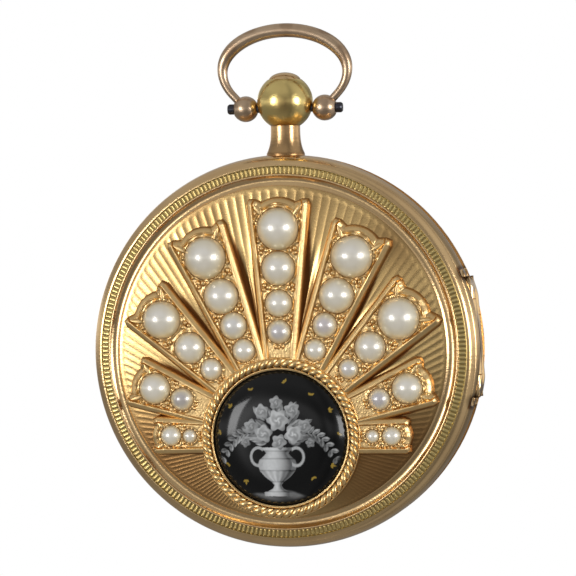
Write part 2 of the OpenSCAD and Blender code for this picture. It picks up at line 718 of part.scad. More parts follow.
module ray_setting(ray) {
    color(rose_gold) difference() {
        along_ray(ray) difference() {
            translate([0, 0, back_joint + 1]) linear_extrude(ray_top - back_joint - 1)
                polygon(ray_outline(ray[1], 0));
            translate([0, 0, bed_z]) linear_extrude(2) polygon(ray_outline(ray[1], ray_edge_w));
            cylinder(r = enamel_r + rope_w, h = 20, $fn = fine);
        }
        in_case() under_cover();
    }
}

module ray_pearls(ray) {
    color(pearl_white) along_ray(ray) for (pearl = ray[1]) translate([0, pearl[0], bed_z]) {
        r = pearl[1] / 2;
        rise = pearl[1] * pearl_rise;
        big = (r * r + rise * rise) / (2 * rise);
        difference() {
            translate([0, 0, rise - big]) sphere(r = big, $fn = 48);
            translate([0, 0, -4]) cube([12, 12, 8], center = true);
        }
    }
}

enamel_edge = field_z + enamel_edge_h;

module medallion_ring() {
    out_r = enamel_r + rope_w;
    wire_r = rope_w * 0.4;
    round_line = [for (i = [0:10]) let(a = 180 - 18 * i) [
        out_r - wire_r - 0.05 + wire_r * cos(a), enamel_edge - 0.1 + wire_r * sin(a)]];
    color(rose_gold) difference() {
        in_case() translate([0, -medallion_drop, 0]) rotate_extrude($fn = fine) polygon(concat(
            [[enamel_r + 0.02, back_joint + 1], [enamel_r + 0.02, enamel_edge + 0.15],
            [enamel_r + 0.2, enamel_edge + 0.15]],
            round_line, [[out_r - 0.05, back_joint + 1]]));
        in_case() under_cover();
    }
}

module medallion_enamel() {
    line = [for (i = [0:10]) let(r = enamel_r * i / 10)
        [r, enamel_edge + arc_z(r, enamel_r, enamel_rise)]];
    color(enamel_black) difference() {
        in_case() translate([0, -medallion_drop, 0]) rotate_extrude($fn = fine)
            polygon(concat(line, [[enamel_r, back_joint + 1], [0, back_joint + 1]]));
        in_case() under_cover();
    }
}

dial_feet = [30, 160, 270];
dial_foot_r = 0.4;
dial_foot_at = dial_r - 2.6;

module dial() {
    color(enamel_white) in_case() difference() {
        union() {
            translate([0, 0, dial_front]) cylinder(r = dial_r, h = dial_t, $fn = fine);
            for (a = dial_feet) at(polar(dial_foot_at, a), dial_back - eps)
                cylinder(r = dial_foot_r, h = motion_h + plate_t * 0.7, $fn = small);
        }
        translate([0, 0, dial_front - 1]) cylinder(r = hour_pipe_r + 0.1, h = 3, $fn = small);
    }
}

cannon_bore_r = arbor_r + 0.15;
cannon_pipe_r = cannon_bore_r + 0.2;
hour_bore_r = cannon_pipe_r + 0.04;
hour_pipe_r = hour_bore_r + 0.3;
minute_wheel_z = plate_front - 0.25 - 0.3;
hour_wheel_z = dial_back + 0.2;

// A hand with a ring near its point, lying towards y
module ring_hand(length, hub_r, ring_r, bore_r) {
    ring_y = length * 0.74;
    linear_extrude(hand_t) difference() {
        union() {
            circle(r = hub_r, $fn = small);
            polygon([
                [-0.2, -hub_r * 2.6], [0.2, -hub_r * 2.6], [0.3, 0],
                [0.16, ring_y], [-0.16, ring_y], [-0.3, 0]]);
            translate([0, ring_y]) circle(r = ring_r, $fn = small);
            polygon([
                [-0.28, ring_y + ring_r * 0.8], [0.28, ring_y + ring_r * 0.8],
                [0.04, length], [-0.04, length]]);
        }
        translate([0, ring_y]) circle(r = ring_r * 0.62, $fn = small);
        circle(r = bore_r, $fn = small);
    }
}

// Ten past ten, seen from the dial's side
module hour_hand() {
    color(blued) in_case() translate([0, 0, hour_z]) rotate([0, 0, 55])
        ring_hand(hour_l, hour_pipe_r + 0.35, 1.1, hour_pipe_r);
}

module minute_hand() {
    color(blued) in_case() translate([0, 0, minute_z]) rotate([0, 0, -60])
        ring_hand(minute_l, cannon_pipe_r + 0.35, 1.0, cannon_pipe_r);
}

// Toothed outline with straight-sided teeth, one tooth's middle at the phase angle
tooth_shape = [[-0.31, -1.25], [-0.11, 0.95], [0.11, 0.95], [0.31, -1.25]];
function teeth(n, m, phase) = [for (i = [0:n - 1], p = tooth_shape)
    let(a = phase + (i + p[0]) * 360 / n, r = m * (n / 2 + p[1])) [r * cos(a), r * sin(a)]];

// Wheel with four spokes round a hub
module wheel(n, m, phase, hub_r) {
    rim_r = m * (n / 2 - 1.25) - 0.45;
    linear_extrude(wheel_t) difference() {
        polygon(teeth(n, m, phase));
        difference() {
            circle(r = rim_r, $fn = fine);
            circle(r = hub_r, $fn = small);
            for (a = [0, 90]) rotate(phase + a) square([2 * rim_r + 1, 0.6], center = true);
        }
    }
}

module pinion(n, m, phase, h) {
    linear_extrude(h) polygon(teeth(n, m, phase));
}

// Arbor with a pivot at each end, from the main plate up to a bar
module arbor(r, bar_under) {
    translate([0, 0, seat_z + 0.05]) cylinder(r = r, h = bar_under - seat_z - 0.1, $fn = small);
    translate([0, 0, seat_z - pivot_l])
        cylinder(r = pivot_r, h = bar_under - seat_z + pivot_l + 0.45, $fn = small);
}

module cannon_pinion() {
    z = plate_front - 0.15;
    color(steel) in_case() difference() {
        union() {
            translate([0, 0, z - 0.55])
                pinion(cannon_n, module_minute, direction(centre_at, minute_at), 0.55);
            translate([0, 0, minute_z]) cylinder(r = cannon_pipe_r, h = z - minute_z - 0.5, $fn = small);
        }
        translate([0, 0, minute_z - 1]) cylinder(r = cannon_bore_r, h = 6, $fn = small);
    }
}

module hour_wheel() {
    color(gilt) in_case() difference() {
        union() {
            translate([0, 0, hour_wheel_z]) linear_extrude(0.25)
                polygon(teeth(hour_n, module_hour, direction(centre_at, minute_at) + 180 / hour_n));
            translate([0, 0, hour_z]) cylinder(r = hour_pipe_r, h = hour_wheel_z - hour_z + 0.1, $fn = small);
        }
        translate([0, 0, hour_z - 1]) cylinder(r = hour_bore_r, h = 5, $fn = small);
    }
}

module minute_wheel() {
    back = direction(minute_at, centre_at);
    color(gilt) in_case() at(minute_at, 0) difference() {
        union() {
            translate([0, 0, minute_wheel_z]) linear_extrude(0.3)
                polygon(teeth(minute_n, module_minute, back + 180 / minute_n));
            translate([0, 0, hour_wheel_z - 0.05])
                pinion(minute_pinion_n, module_hour, back, minute_wheel_z - hour_wheel_z + 0.1);
        }
        translate([0, 0, dial_back - 1]) cylinder(r = arbor_r + pivot_play, h = 5, $fn = small);
    }
}

case_screw_angles = [30, 115, 205, 290];
case_screw_r = band_in_r - 0.6;

module main_plate() {
    pivot_hole = pivot_r + pivot_play;
    rim_in_r = dial_r - 0.8;
    color(gilt) in_case() difference() {
        union() {
            translate([0, 0, plate_front]) cylinder(r = plate_r, h = plate_t, $fn = fine);
            difference() {
                translate([0, 0, dial_back]) cylinder(r = dial_r, h = motion_h + eps, $fn = fine);
                translate([0, 0, dial_back - 1]) cylinder(r = rim_in_r, h = motion_h + 1, $fn = fine);
            }
            at(minute_at, dial_back + 0.05) cylinder(r = arbor_r, h = motion_h, $fn = small);
        }
        at(centre_at, plate_front - 1) cylinder(r = centre_arbor_r + 0.05, h = 4, $fn = small);
        for (place = [third_at, fourth_at, escape_at, balance_at]) at(place, plate_front - 1)
            cylinder(r = pivot_hole, h = 4, $fn = small);
        at(barrel_at, plate_front - 1) cylinder(r = winding_r + pivot_play, h = 4, $fn = small);
        for (place = bridge_feet) at(place, plate_front - 1) cylinder(r = screw_r, h = 4, $fn = small);
        for (a = case_screw_angles) at(polar(case_screw_r, a), plate_front + 0.3)
            cylinder(r = screw_r, h = 3, $fn = small);
        for (a = dial_feet) at(polar(dial_foot_at, a), plate_front - 1)
            cylinder(r = dial_foot_r + 0.03, h = 4, $fn = small);
    }
}

centre_arbor_r = arbor_r + 0.12;
winding_r = 0.8;
bridge_feet = [bridge_foot_a, bridge_foot_b, centre_foot, third_foot, fourth_foot, escape_foot, balance_foot];

// A bar from a pivot to its foot on the main plate, drilled for both
module bar(pivot_at, foot_at, z, t, hole_r, w = bar_w, table_r = 0) {
    length = norm(foot_at - pivot_at);
    in_case() difference() {
        union() {
            at(pivot_at, z) cylinder(r = max(w / 2, table_r), h = t, $fn = small);
            at(foot_at, z) cylinder(r = foot_r, h = t, $fn = small);
            at(foot_at, seat_z) cylinder(r = foot_r, h = z - seat_z + eps, $fn = small);
            at(pivot_at, z) rotate([0, 0, direction(pivot_at, foot_at)])
                translate([0, -w / 2, 0]) cube([length, w, t]);
        }
        at(pivot_at, z - 1) cylinder(r = hole_r, h = t + 2, $fn = small);
        at(foot_at, seat_z - 1) cylinder(r = screw_r, h = 8, $fn = small);
    }
}

module barrel_bridge() {
    span = norm(bridge_foot_a - bridge_foot_b);
    turn = direction(bridge_foot_b, bridge_foot_a);
    color(gilt) in_case() difference() {
        union() {
            at(barrel_at, bar_z) cylinder(r = 3.4, h = bar_t, $fn = fine);
            at(bridge_foot_b, bar_z) rotate([0, 0, turn]) translate([0, -bar_w / 2, 0])
                cube([span, bar_w, bar_t]);
            for (foot = [bridge_foot_a, bridge_foot_b]) at(foot, seat_z)
                cylinder(r = foot_r, h = bar_top - seat_z, $fn = small);
        }
        at(barrel_at, bar_z - 1) cylinder(r = winding_r + pivot_play, h = 4, $fn = small);
        for (foot = [bridge_foot_a, bridge_foot_b]) at(foot, seat_z - 1)
            cylinder(r = screw_r, h = 8, $fn = small);
        at(barrel_at + click_offset, bar_z - 1) cylinder(r = click_stud_r + pivot_play, h = 4, $fn = small);
    }
}

module centre_bar() {
    color(gilt) bar(centre_at, centre_foot, bar_z, bar_t, centre_arbor_r + 0.05);
}

module third_bar() {
    color(gilt) bar(third_at, third_foot, bar_z, bar_t, pivot_r + pivot_play);
}

module fourth_bar() {
    color(gilt) bar(fourth_at, fourth_foot, bar_z, bar_t, pivot_r + pivot_play);
}

module escape_bar() {
    color(gilt) bar(escape_at, escape_foot, escape_bar_z, escape_bar_t, pivot_r + pivot_play, 1.6);
}

cock_table_r = 2.6;

module balance_cock() {
    color(gilt) {
        bar(balance_at, balance_foot, cock_z, cock_t, pivot_r + pivot_play, bar_w, cock_table_r);
        in_case() at(balance_at, cock_z + cock_t - eps) difference() {
            cylinder(r = cock_boss_r, h = regulator_t + eps, $fn = small);
            translate([0, 0, -1]) cylinder(r = pivot_r + pivot_play, h = 3, $fn = small);
        }
    }
}

module barrel() {
    teeth_t = 0.4;
    wall = 0.35;
    color(gilt) in_case() at(barrel_at, barrel_z) difference() {
        union() {
            linear_extrude(teeth_t) polygon(teeth(barrel_n, module_a, direction(barrel_at, centre_at)));
            cylinder(r = drum_r, h = barrel_h, $fn = fine);
        }
        translate([0, 0, teeth_t - 0.05])
            cylinder(r = drum_r - wall, h = barrel_h - teeth_t - 0.25, $fn = fine);
        translate([0, 0, -1]) cylinder(r = winding_r + pivot_play, h = 6, $fn = small);
    }
}

// Ribbon wound against the drum's wall, its inner end reaching for the arbor
module mainspring() {
    turns = 7;
    ribbon = 0.14;
    outer = drum_r - 0.35 - 0.03;
    inner = 1.9;
    steps = turns * 24;
    function coil_r(i) = outer - (outer - inner) * pow(i / steps, 1.6);
    outer_side = [for (i = [0:steps]) [coil_r(i) * cos(i * 15), coil_r(i) * sin(i * 15)]];
    inner_side = [for (i = [steps:-1:0])
        [(coil_r(i) - ribbon) * cos(i * 15), (coil_r(i) - ribbon) * sin(i * 15)]];
    color(blued) in_case() at(barrel_at, barrel_z + 0.5) linear_extrude(barrel_h - 0.85)
        polygon(concat(outer_side, inner_side));
}

// Arbor through the barrel, with the square that the key fits
module winding_arbor() {
    square_w = 1.05;
    color(steel) in_case() at(barrel_at, 0) {
        translate([0, 0, seat_z - 0.9]) cylinder(r = winding_r, h = bar_top - seat_z + 0.9, $fn = small);
        translate([0, 0, bar_top - eps]) linear_extrude(key_room - 0.1) square(square_w, center = true);
    }
}

module ratchet_wheel() {
    tooth = [for (i = [0:ratchet_n - 1], p = [[0, 1], [0.75, 0.84], [0.98, 0.84]])
        let(a = (i + p[0]) * 360 / ratchet_n) [ratchet_r * p[1] * cos(a), ratchet_r * p[1] * sin(a)]];
    color(steel) in_case() at(barrel_at, bar_top + 0.05) linear_extrude(0.3) difference() {
        polygon(tooth);
        square(1.05, center = true);
    }
}

click_offset = polar(ratchet_r + 1.6, 100);
click_stud_r = 0.3;

// Click beside the ratchet, on its own stud in the bridge
module ratchet_click() {
    color(steel) in_case() at(barrel_at, 0) {
        translate([0, 0, bar_top + 0.05]) linear_extrude(0.3) {
            translate(click_offset) circle(r = 0.55, $fn = small);
            polygon([
                click_offset + [0.2, 0.5], click_offset + [-0.3, -0.45],
                polar(ratchet_r + 0.08, 72), polar(ratchet_r + 0.45, 68)]);
        }
        translate([click_offset[0], click_offset[1], bar_z + 0.1])
            cylinder(r = click_stud_r, h = bar_t + 0.2, $fn = small);
    }
}

module centre_wheel() {
    wheel_phase = direction(centre_at, third_at);
    color(gilt) in_case() {
        translate([0, 0, centre_z]) wheel(centre_n, module_a, wheel_phase, 1.1);
        translate([0, 0, barrel_z - 0.05])
            pinion(centre_pinion_n, module_a, direction(centre_at, barrel_at) + 180 / centre_pinion_n, 0.5);
        translate([0, 0, seat_z + 0.05]) cylinder(r = centre_arbor_r, h = bar_z - seat_z - 0.1, $fn = small);
        translate([0, 0, minute_z]) cylinder(r = centre_arbor_r, h = bar_top + 0.05 - minute_z, $fn = small);
        translate([0, 0, bar_top]) linear_extrude(key_room - 0.15)
            square(centre_arbor_r * 1.3, center = true);
    }
}

module third_wheel() {
    color(gilt) in_case() at(third_at, 0) {
        translate([0, 0, third_z]) wheel(third_n, module_b, direction(third_at, fourth_at), 0.9);
        translate([0, 0, centre_z - 0.1])
            pinion(third_pinion_n, module_a, direction(third_at, centre_at) + 180 / third_pinion_n, pinion_h);
        arbor(arbor_r, bar_z);
    }
}

module fourth_wheel() {
    color(gilt) in_case() at(fourth_at, 0) {
        translate([0, 0, fourth_z]) wheel(fourth_n, module_c, direction(fourth_at, escape_at), 0.8);
        translate([0, 0, third_z - 0.1]) pinion(
            fourth_pinion_n, module_b, direction(fourth_at, third_at) + 180 / fourth_pinion_n, pinion_h);
        arbor(arbor_r, bar_z);
    }
}

// Escape wheel of a cylinder escapement: wedge-shaped teeth on stalks
module escape_wheel() {
    tooth = [for (i = [0:escape_n - 1], p = [[0, 1], [0.1, 0.86], [0.5, 0.78], [0.85, 0.86]])
        let(a = (i + p[0]) * 360 / escape_n) [escape_r * p[1] * cos(a), escape_r * p[1] * sin(a)]];
    color(steel) in_case() at(escape_at, 0) {
        translate([0, 0, escape_z]) linear_extrude(wheel_t) difference() {
            polygon(tooth);
            difference() {
                circle(r = escape_r * 0.66, $fn = fine);
                circle(r = 0.7, $fn = small);
                for (a = [0, 90]) rotate(a) square([escape_r * 2, 0.45], center = true);
            }
        }
        translate([0, 0, fourth_z - 0.1]) pinion(
            escape_pinion_n, module_c, direction(escape_at, fourth_at) + 180 / escape_pinion_n, pinion_h);
        arbor(0.2, escape_bar_z);
    }
}

module balance() {
    color(gilt) in_case() at(balance_at, 0) {
        translate([0, 0, balance_z]) linear_extrude(balance_t) {
            difference() {
                circle(r = balance_r, $fn = fine);
                circle(r = balance_r - 0.7, $fn = fine);
            }
            for (a = [90, 210, 330]) rotate(a) translate([0, -0.35]) square([balance_r - 0.4, 0.7]);
            circle(r = 1.1, $fn = small);
        }
        translate([0, 0, seat_z + 0.1]) cylinder(r = cylinder_r, h = cock_z - seat_z - 0.2, $fn = small);
        translate([0, 0, seat_z - pivot_l])
            cylinder(r = pivot_r, h = cock_z - seat_z + pivot_l + 0.5, $fn = small);
    }
}

// Flat spiral from the balance's collet to the stud under the cock's table
module hairspring() {
    turns = 5;
    ribbon = 0.08;
    inner = cylinder_r + 0.12;
    outer = cock_table_r - 0.4;
    steps = turns * 24;
    function coil_r(i) = inner + (outer - inner) * i / steps;
    outer_side = [for (i = [0:steps])
        [(coil_r(i) + ribbon) * cos(i * 15), (coil_r(i) + ribbon) * sin(i * 15)]];
    inner_side = [for (i = [steps:-1:0]) [coil_r(i) * cos(i * 15), coil_r(i) * sin(i * 15)]];
    pitch = (outer - inner) / turns;
    echo("hairspring, least gap between its turns", pitch - ribbon);
    color(blued) in_case() at(balance_at, 0) {
        translate([0, 0, cock_z - 0.35]) linear_extrude(0.2) polygon(concat(outer_side, inner_side));
        translate([outer - 0.05, -0.3, cock_z - 0.4]) cube([0.4, 0.4, 0.4]);
    }
}

module regulator() {
    color(blued) in_case() at(balance_at, cock_z + cock_t) linear_extrude(regulator_t) difference() {
        union() {
            circle(r = 1.3, $fn = small);
            rotate(125) translate([0, -0.25]) square([3.6, 0.5]);
        }
        circle(r = cock_boss_r + 0.03, $fn = small);
    }
}

// One screw through each foot of the bars into the main plate
module bridge_screws() {
    color(blued) in_case() for (i = [0:len(bridge_feet) - 1]) {
        top = i == 5 ? escape_bar_z + escape_bar_t : i == 6 ? cock_z + cock_t : bar_top;
        at(bridge_feet[i], plate_front + 0.1)
            cylinder(r = screw_r, h = top - plate_front - 0.1 + eps, $fn = small);
        at(bridge_feet[i], top) difference() {
            cylinder(r = head_r, h = head_h, $fn = small);
            rotate([0, 0, 40 * i]) translate([0, 0, head_h]) cube([3, 0.18, 0.24], center = true);
        }
    }
}

// Screws that hold the movement against the band's ledge
module case_screws() {
    ledge_back = seat_z + ledge_t;
    color(blued) in_case() for (a = case_screw_angles) {
        at(polar(case_screw_r, a), plate_front + 0.3)
            cylinder(r = screw_r, h = ledge_back - plate_front - 0.3 + eps, $fn = small);
        at(polar(case_screw_r, a), ledge_back) difference() {
            cylinder(r = screw_r + 0.12, h = head_h, $fn = small);
            rotate([0, 0, a]) translate([0, 0, head_h]) cube([3, 0.18, 0.24], center = true);
        }
    }
}

bow();
bow_screws();
pendant();
push_piece();
lock_spring();
case_band();
back_cover();
back_hinge_pin();
cuvette();
bezel();
bezel_hinge_pin();
crystal();
ray_setting(ray_centre);
ray_setting(ray_left_1);
ray_setting(ray_left_2);
ray_setting(ray_left_3);
ray_setting(ray_left_4);
ray_setting(ray_right_1);
ray_setting(ray_right_2);
ray_setting(ray_right_3);
ray_setting(ray_right_4);
ray_pearls(ray_centre);  // pearls_centre
ray_pearls(ray_left_1);  // pearls_left_1
ray_pearls(ray_left_2);  // pearls_left_2
ray_pearls(ray_left_3);  // pearls_left_3
ray_pearls(ray_left_4);  // pearls_left_4
ray_pearls(ray_right_1);  // pearls_right_1
ray_pearls(ray_right_2);  // pearls_right_2
ray_pearls(ray_right_3);  // pearls_right_3
ray_pearls(ray_right_4);  // pearls_right_4
medallion_ring();
medallion_enamel();
dial();
hour_hand();
minute_hand();
cannon_pinion();
hour_wheel();
minute_wheel();
main_plate();
barrel_bridge();
centre_bar();
third_bar();
fourth_bar();
escape_bar();
balance_cock();
barrel();
mainspring();
winding_arbor();
ratchet_wheel();
ratchet_click();
centre_wheel();
third_wheel();
fourth_wheel();
escape_wheel();
balance();
hairspring();
regulator();
bridge_screws();
case_screws();
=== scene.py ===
import json
import bpy
import numpy as np
from mathutils import Matrix, Vector


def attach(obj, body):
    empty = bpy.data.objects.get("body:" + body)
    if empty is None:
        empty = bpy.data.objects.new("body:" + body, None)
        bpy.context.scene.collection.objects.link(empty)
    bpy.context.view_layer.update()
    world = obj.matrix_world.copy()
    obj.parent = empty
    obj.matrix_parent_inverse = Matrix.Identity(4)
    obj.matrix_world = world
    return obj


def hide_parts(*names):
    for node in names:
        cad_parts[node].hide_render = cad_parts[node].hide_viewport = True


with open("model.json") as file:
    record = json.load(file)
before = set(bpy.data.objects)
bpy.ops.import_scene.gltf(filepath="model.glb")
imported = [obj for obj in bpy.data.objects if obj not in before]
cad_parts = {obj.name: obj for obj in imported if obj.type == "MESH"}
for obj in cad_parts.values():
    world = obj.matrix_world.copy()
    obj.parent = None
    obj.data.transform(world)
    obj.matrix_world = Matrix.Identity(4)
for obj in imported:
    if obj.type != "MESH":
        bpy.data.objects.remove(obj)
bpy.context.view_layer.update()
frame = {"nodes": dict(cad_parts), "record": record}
print("frame loaded")

mm = 0.001
caseBelow = 39.175  # the case's centre lies this far under the inside top of the bow


def place(x, y, z):
    # the case's own plan (right, up, towards the back) turned to the frame, in metres
    x, y, z = np.broadcast_arrays(x, y, z)
    return np.stack([x, -z, y - caseBelow], -1) * mm


def planOf(points):
    # the way back: right and up on the case's plan, in millimetres, of points in metres
    return points[:, 0] / mm, points[:, 2] / mm + caseBelow


def grid(rows, cols, wrapRows=False, wrapCols=False, start=0):
    # quads between neighbouring rows and columns, the last joined to the first where it wraps
    r, c = np.meshgrid(np.arange(rows - (not wrapRows)), np.arange(cols - (not wrapCols)), indexing="ij")
    r2, c2 = (r + 1) % rows, (c + 1) % cols
    return np.stack([r * cols + c, r * cols + c2, r2 * cols + c2, r2 * cols + c], -1).reshape(-1, 4) + start


def circle(steps):
    # angles evenly once round, the last one step before the first
    return np.linspace(0, 2 * np.pi, steps, endpoint=False)


def nextRound(count):
    # the numbers from 0 to count - 1 and the one after each, the last followed by the first
    i = np.arange(count)
    return i, (i + 1) % count


def border(rows, cols):
    # row and column of every point once round a grid of rows + 1 by cols + 1 points
    r, c = np.arange(rows), np.arange(cols)
    sides = (0 * c, c), (r, cols + 0 * r), (rows + 0 * c, cols - c), (rows - r, 0 * r)
    return np.concatenate([np.stack(side, -1) for side in sides])


def skirt(edge, start):
    # quads from the points of an edge to as many points that begin at start
    i, j = nextRound(len(edge))
    return np.stack([edge[i], edge[j], start + j, start + i], -1)


def outwards(points, faceSets):
    # turns every face over when six times the enclosed volume comes out below zero
    points = np.asarray(points, float).reshape(-1, 3)
    faceSets = [np.asarray(f) for f in faceSets]
    centred = points - points.mean(0)
    volume = 0.0
    for faces in faceSets:
        for k in range(1, faces.shape[1] - 1):
            a, b, c = centred[faces[:, 0]], centred[faces[:, k]], centred[faces[:, k + 1]]
            volume += np.einsum("ij,ij->", a, np.cross(b, c))
    return points, [f[:, ::-1] for f in faceSets] if volume < 0 else faceSets


def added(name, data):
    # an object of this name in the scene, at the origin
    made = bpy.data.objects.new(name, data)
    bpy.context.scene.collection.objects.link(made)
    return made


def makePiece(name, points, faceSets, finish, body, replaced=None, sharp=38, slot=None, **layers):
    # a mesh from points in metres and sets of faces with equally many corners, riding on its body;
    # each further argument is a layer: a value or a colour for every point
    points, faceSets = outwards(points, faceSets)
    mesh = bpy.data.meshes.new(name)
    loops = np.concatenate([f.ravel() for f in faceSets]).astype(np.int32)
    sizes = np.concatenate([np.full(len(f), f.shape[1]) for f in faceSets])
    mesh.vertices.add(len(points))
    mesh.vertices.foreach_set("co", points.astype(np.float32).ravel())
    mesh.loops.add(len(loops))
    mesh.loops.foreach_set("vertex_index", loops)
    mesh.polygons.add(len(sizes))
    mesh.polygons.foreach_set("loop_start", (np.cumsum(sizes) - sizes).astype(np.int32))
    mesh.update(calc_edges=True)
    mesh.validate()
    mesh.shade_smooth()
    mesh.set_sharp_from_angle(angle=np.radians(sharp))
    for layer, values in layers.items():
        values = np.asarray(values, np.float32)
        colour = values.ndim > 1 and values.shape[-1] == 3
        data = mesh.attributes.new(layer, "FLOAT_COLOR" if colour else "FLOAT", "POINT")
        if colour:
            values = np.concatenate([values.reshape(-1, 3), np.ones((len(points), 1), np.float32)], 1)
        data.data.foreach_set("color" if colour else "value", values.ravel())
    piece = added(name, mesh)
    mesh.materials.append(finish)
    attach(piece, body)
    if replaced:
        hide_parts(replaced)


def joined(parts):
    # several (points, face sets) in one mesh, each set of faces counted on from the last
    points, faceSets, start = [], [], 0
    for partPoints, partFaces in parts:
        partPoints = np.asarray(partPoints, float).reshape(-1, 3)
        points.append(partPoints)
        faceSets += [np.asarray(f) + start for f in partFaces]
        start += len(partPoints)
    return np.concatenate(points), faceSets


def turned(profile, steps, where, poles=False):
    # a profile of (radius, height) carried round an axis; where() takes radius, angle and height.
    # With poles its two ends lie on the axis, otherwise its last point joins its first
    profile = np.asarray(profile, float)
    angle = circle(steps)
    if not poles:
        points = where(profile[:, :1], angle[None, :], profile[:, 1:])
        return points, [grid(len(profile), steps, True, True)]
    inner = profile[1:-1]
    points = where(inner[:, :1], angle[None, :], inner[:, 1:]).reshape(-1, 3)
    ends = where(np.zeros((2, 1)), np.zeros((2, 1)), profile[[0, -1], 1:]).reshape(-1, 3)
    n = len(points)
    i, j = nextRound(steps)
    last = (len(inner) - 1) * steps
    fans = np.concatenate([np.stack([np.full(steps, n), j, i], -1),
                           np.stack([np.full(steps, n + 1), last + i, last + j], -1)])
    return np.concatenate([points, ends]), [grid(len(inner), steps, False, True), fans]


def polar(radius, angle):
    # right and up of the point at this radius and angle
    return radius * np.cos(angle), radius * np.sin(angle)


def inAxes(x, y, turn):
    # how far a point lies along a direction and how far to its left, the direction given by its angle
    return x * np.cos(turn) + y * np.sin(turn), y * np.cos(turn) - x * np.sin(turn)


def roundCase(radius, angle, height):
    # radius and angle about the case's own axis, height towards its back
    return place(*polar(radius, angle), height)


def roundUpright(radius, angle, height):
    # radius and angle about the upright line through the pendant, height up that line
    return place(radius * np.cos(angle), height, radius * np.sin(angle))


def fall(a, b, x):
    # 0 before a and 1 after b, with a soft start and end
    t = np.clip((x - a) / (b - a), 0, 1)
    return t * t * (3 - 2 * t)


def hump(x, middle, width):
    # 1 at its middle, falling by e to minus the squared distance in widths
    return np.exp(-((x - middle) / width) ** 2)


class Wire:
    # a socket on which arithmetic adds Math nodes
    def __init__(self, maker, socket):
        self.maker, self.socket = maker, socket

    def math(self, operation, a, b=0.0):
        return self.maker.node("Math", {"operation": operation}, {0: a, 1: b})

    def __add__(self, other): return self.math("ADD", self, other)
    def __radd__(self, other): return self.math("ADD", other, self)
    def __sub__(self, other): return self.math("SUBTRACT", self, other)
    def __rsub__(self, other): return self.math("SUBTRACT", other, self)
    def __mul__(self, other): return self.math("MULTIPLY", self, other)
    def __rmul__(self, other): return self.math("MULTIPLY", other, self)


class Maker:
    # a node tree, whose nodes all come from node(): kind, settings first, then socket values and links
    def __init__(self, holder, clear=True):
        holder.use_nodes = True
        self.tree = holder.node_tree
        if clear:
            self.tree.nodes.clear()

    def node(self, kind, settings=None, inputs=None, out=0):
        made = self.tree.nodes.new("ShaderNode" + kind)
        for key, value in (settings or {}).items():
            if key == "stops":
                ramp = made.color_ramp
                while len(ramp.elements) < len(value):
                    ramp.elements.new(0.5)
                for stop, (at, shade) in zip(ramp.elements, value):
                    stop.position, stop.color = at, (shade, shade, shade, 1)
            else:
                setattr(made, key, value)
        for key, value in (inputs or {}).items():
            self.feed(made.inputs[key], value)
        return Wire(self, made.outputs[out]) if len(made.outputs) else None

    def feed(self, socket, value):
        if isinstance(value, Wire):
            self.tree.links.new(value.socket, socket)
        elif np.ndim(value) and len(value) == 3 and socket.type == "RGBA":
            socket.default_value = (*value, 1)
        else:
            socket.default_value = value


class Finish(Maker):
    # a material with a Principled shader
    def __init__(self, name, **constants):
        self.material = bpy.data.materials.new(name)
        super().__init__(self.material, False)
        self.shader = next(n for n in self.tree.nodes if n.type == "BSDF_PRINCIPLED")
        self.put(**constants)

    def here(self, scale=(1, 1, 1)):
        spot = self.node("TexCoord", out="Object")
        if scale == (1, 1, 1):
            return spot
        return self.node("Mapping", {}, {"Vector": spot, "Scale": scale})

    def noise(self, scale, detail=3.0, rough=0.5, stretch=(1, 1, 1)):
        return self.node("TexNoise", {}, {
            "Vector": self.here(stretch), "Scale": scale, "Detail": detail, "Roughness": rough})

    def layer(self, name, out="Fac"):
        return self.node("Attribute", {"attribute_name": name}, out=out)

    def mix(self, amount, a, b):
        return self.node("Mix", {"data_type": "RGBA"}, {0: amount, 6: a, 7: b}, out=2)

    def vector(self, operation, a, b, out="Vector"):
        return self.node("VectorMath", {"operation": operation}, {0: a, 1: b}, out=out)

    def ramp(self, value, stops):
        return self.node("ValToRGB", {"stops": stops}, {0: value})

    def bump(self, height, distance):
        self.put(Normal=self.node("Bump", {}, {"Height": height, "Distance": distance, "Strength": 1.0}))

    def put(self, **links):
        for socket, value in links.items():
            self.feed(self.shader.inputs[socket.replace("_", " ")], value)
        return self.material


hinge = {"angle": 4.0, "out": 23.5, "up": 1.2, "round": 0.75, "knuckles": ((-4.65, -1.675), (1.675, 4.65)),
         "arc": (152, 413), "tongue": ((0.45, 1.1), (-0.66, 1.1)), "chamfer": 0.05, "bevel": 0.94,
         "shadeOut": 23.6, "shadeAlong": 8.0, "shadeReach": 0.0025, "shade": (0.05, 0.026, 0.01)}
hingeTurn = np.radians(hinge["angle"])
hingeOut = np.array([np.cos(hingeTurn), np.sin(hingeTurn)])  # from the case's centre to the hinge
hingeSide = np.array([-np.sin(hingeTurn), np.cos(hingeTurn)])  # along the hinge

gold = {
    "bow": (0.68, 0.50, 0.335), "bowDeep": (0.26, 0.14, 0.07),
    "rose": (0.85, 0.59, 0.30), "roseDeep": (0.28, 0.13, 0.045),
    "yellow": (0.84, 0.65, 0.27), "yellowDeep": (0.30, 0.14, 0.045),
    "ball": (0.92, 0.72, 0.28), "neck": (0.56, 0.35, 0.165), "milledDeep": (0.34, 0.23, 0.08),
    "turned": (0.85, 0.585, 0.25), "turnedDeep": (0.15, 0.052, 0.012),
    "setting": (0.98, 0.69, 0.32), "settingDeep": (0.28, 0.105, 0.025),
    "gilt": (0.80, 0.62, 0.30), "giltDeep": (0.45, 0.30, 0.10)}


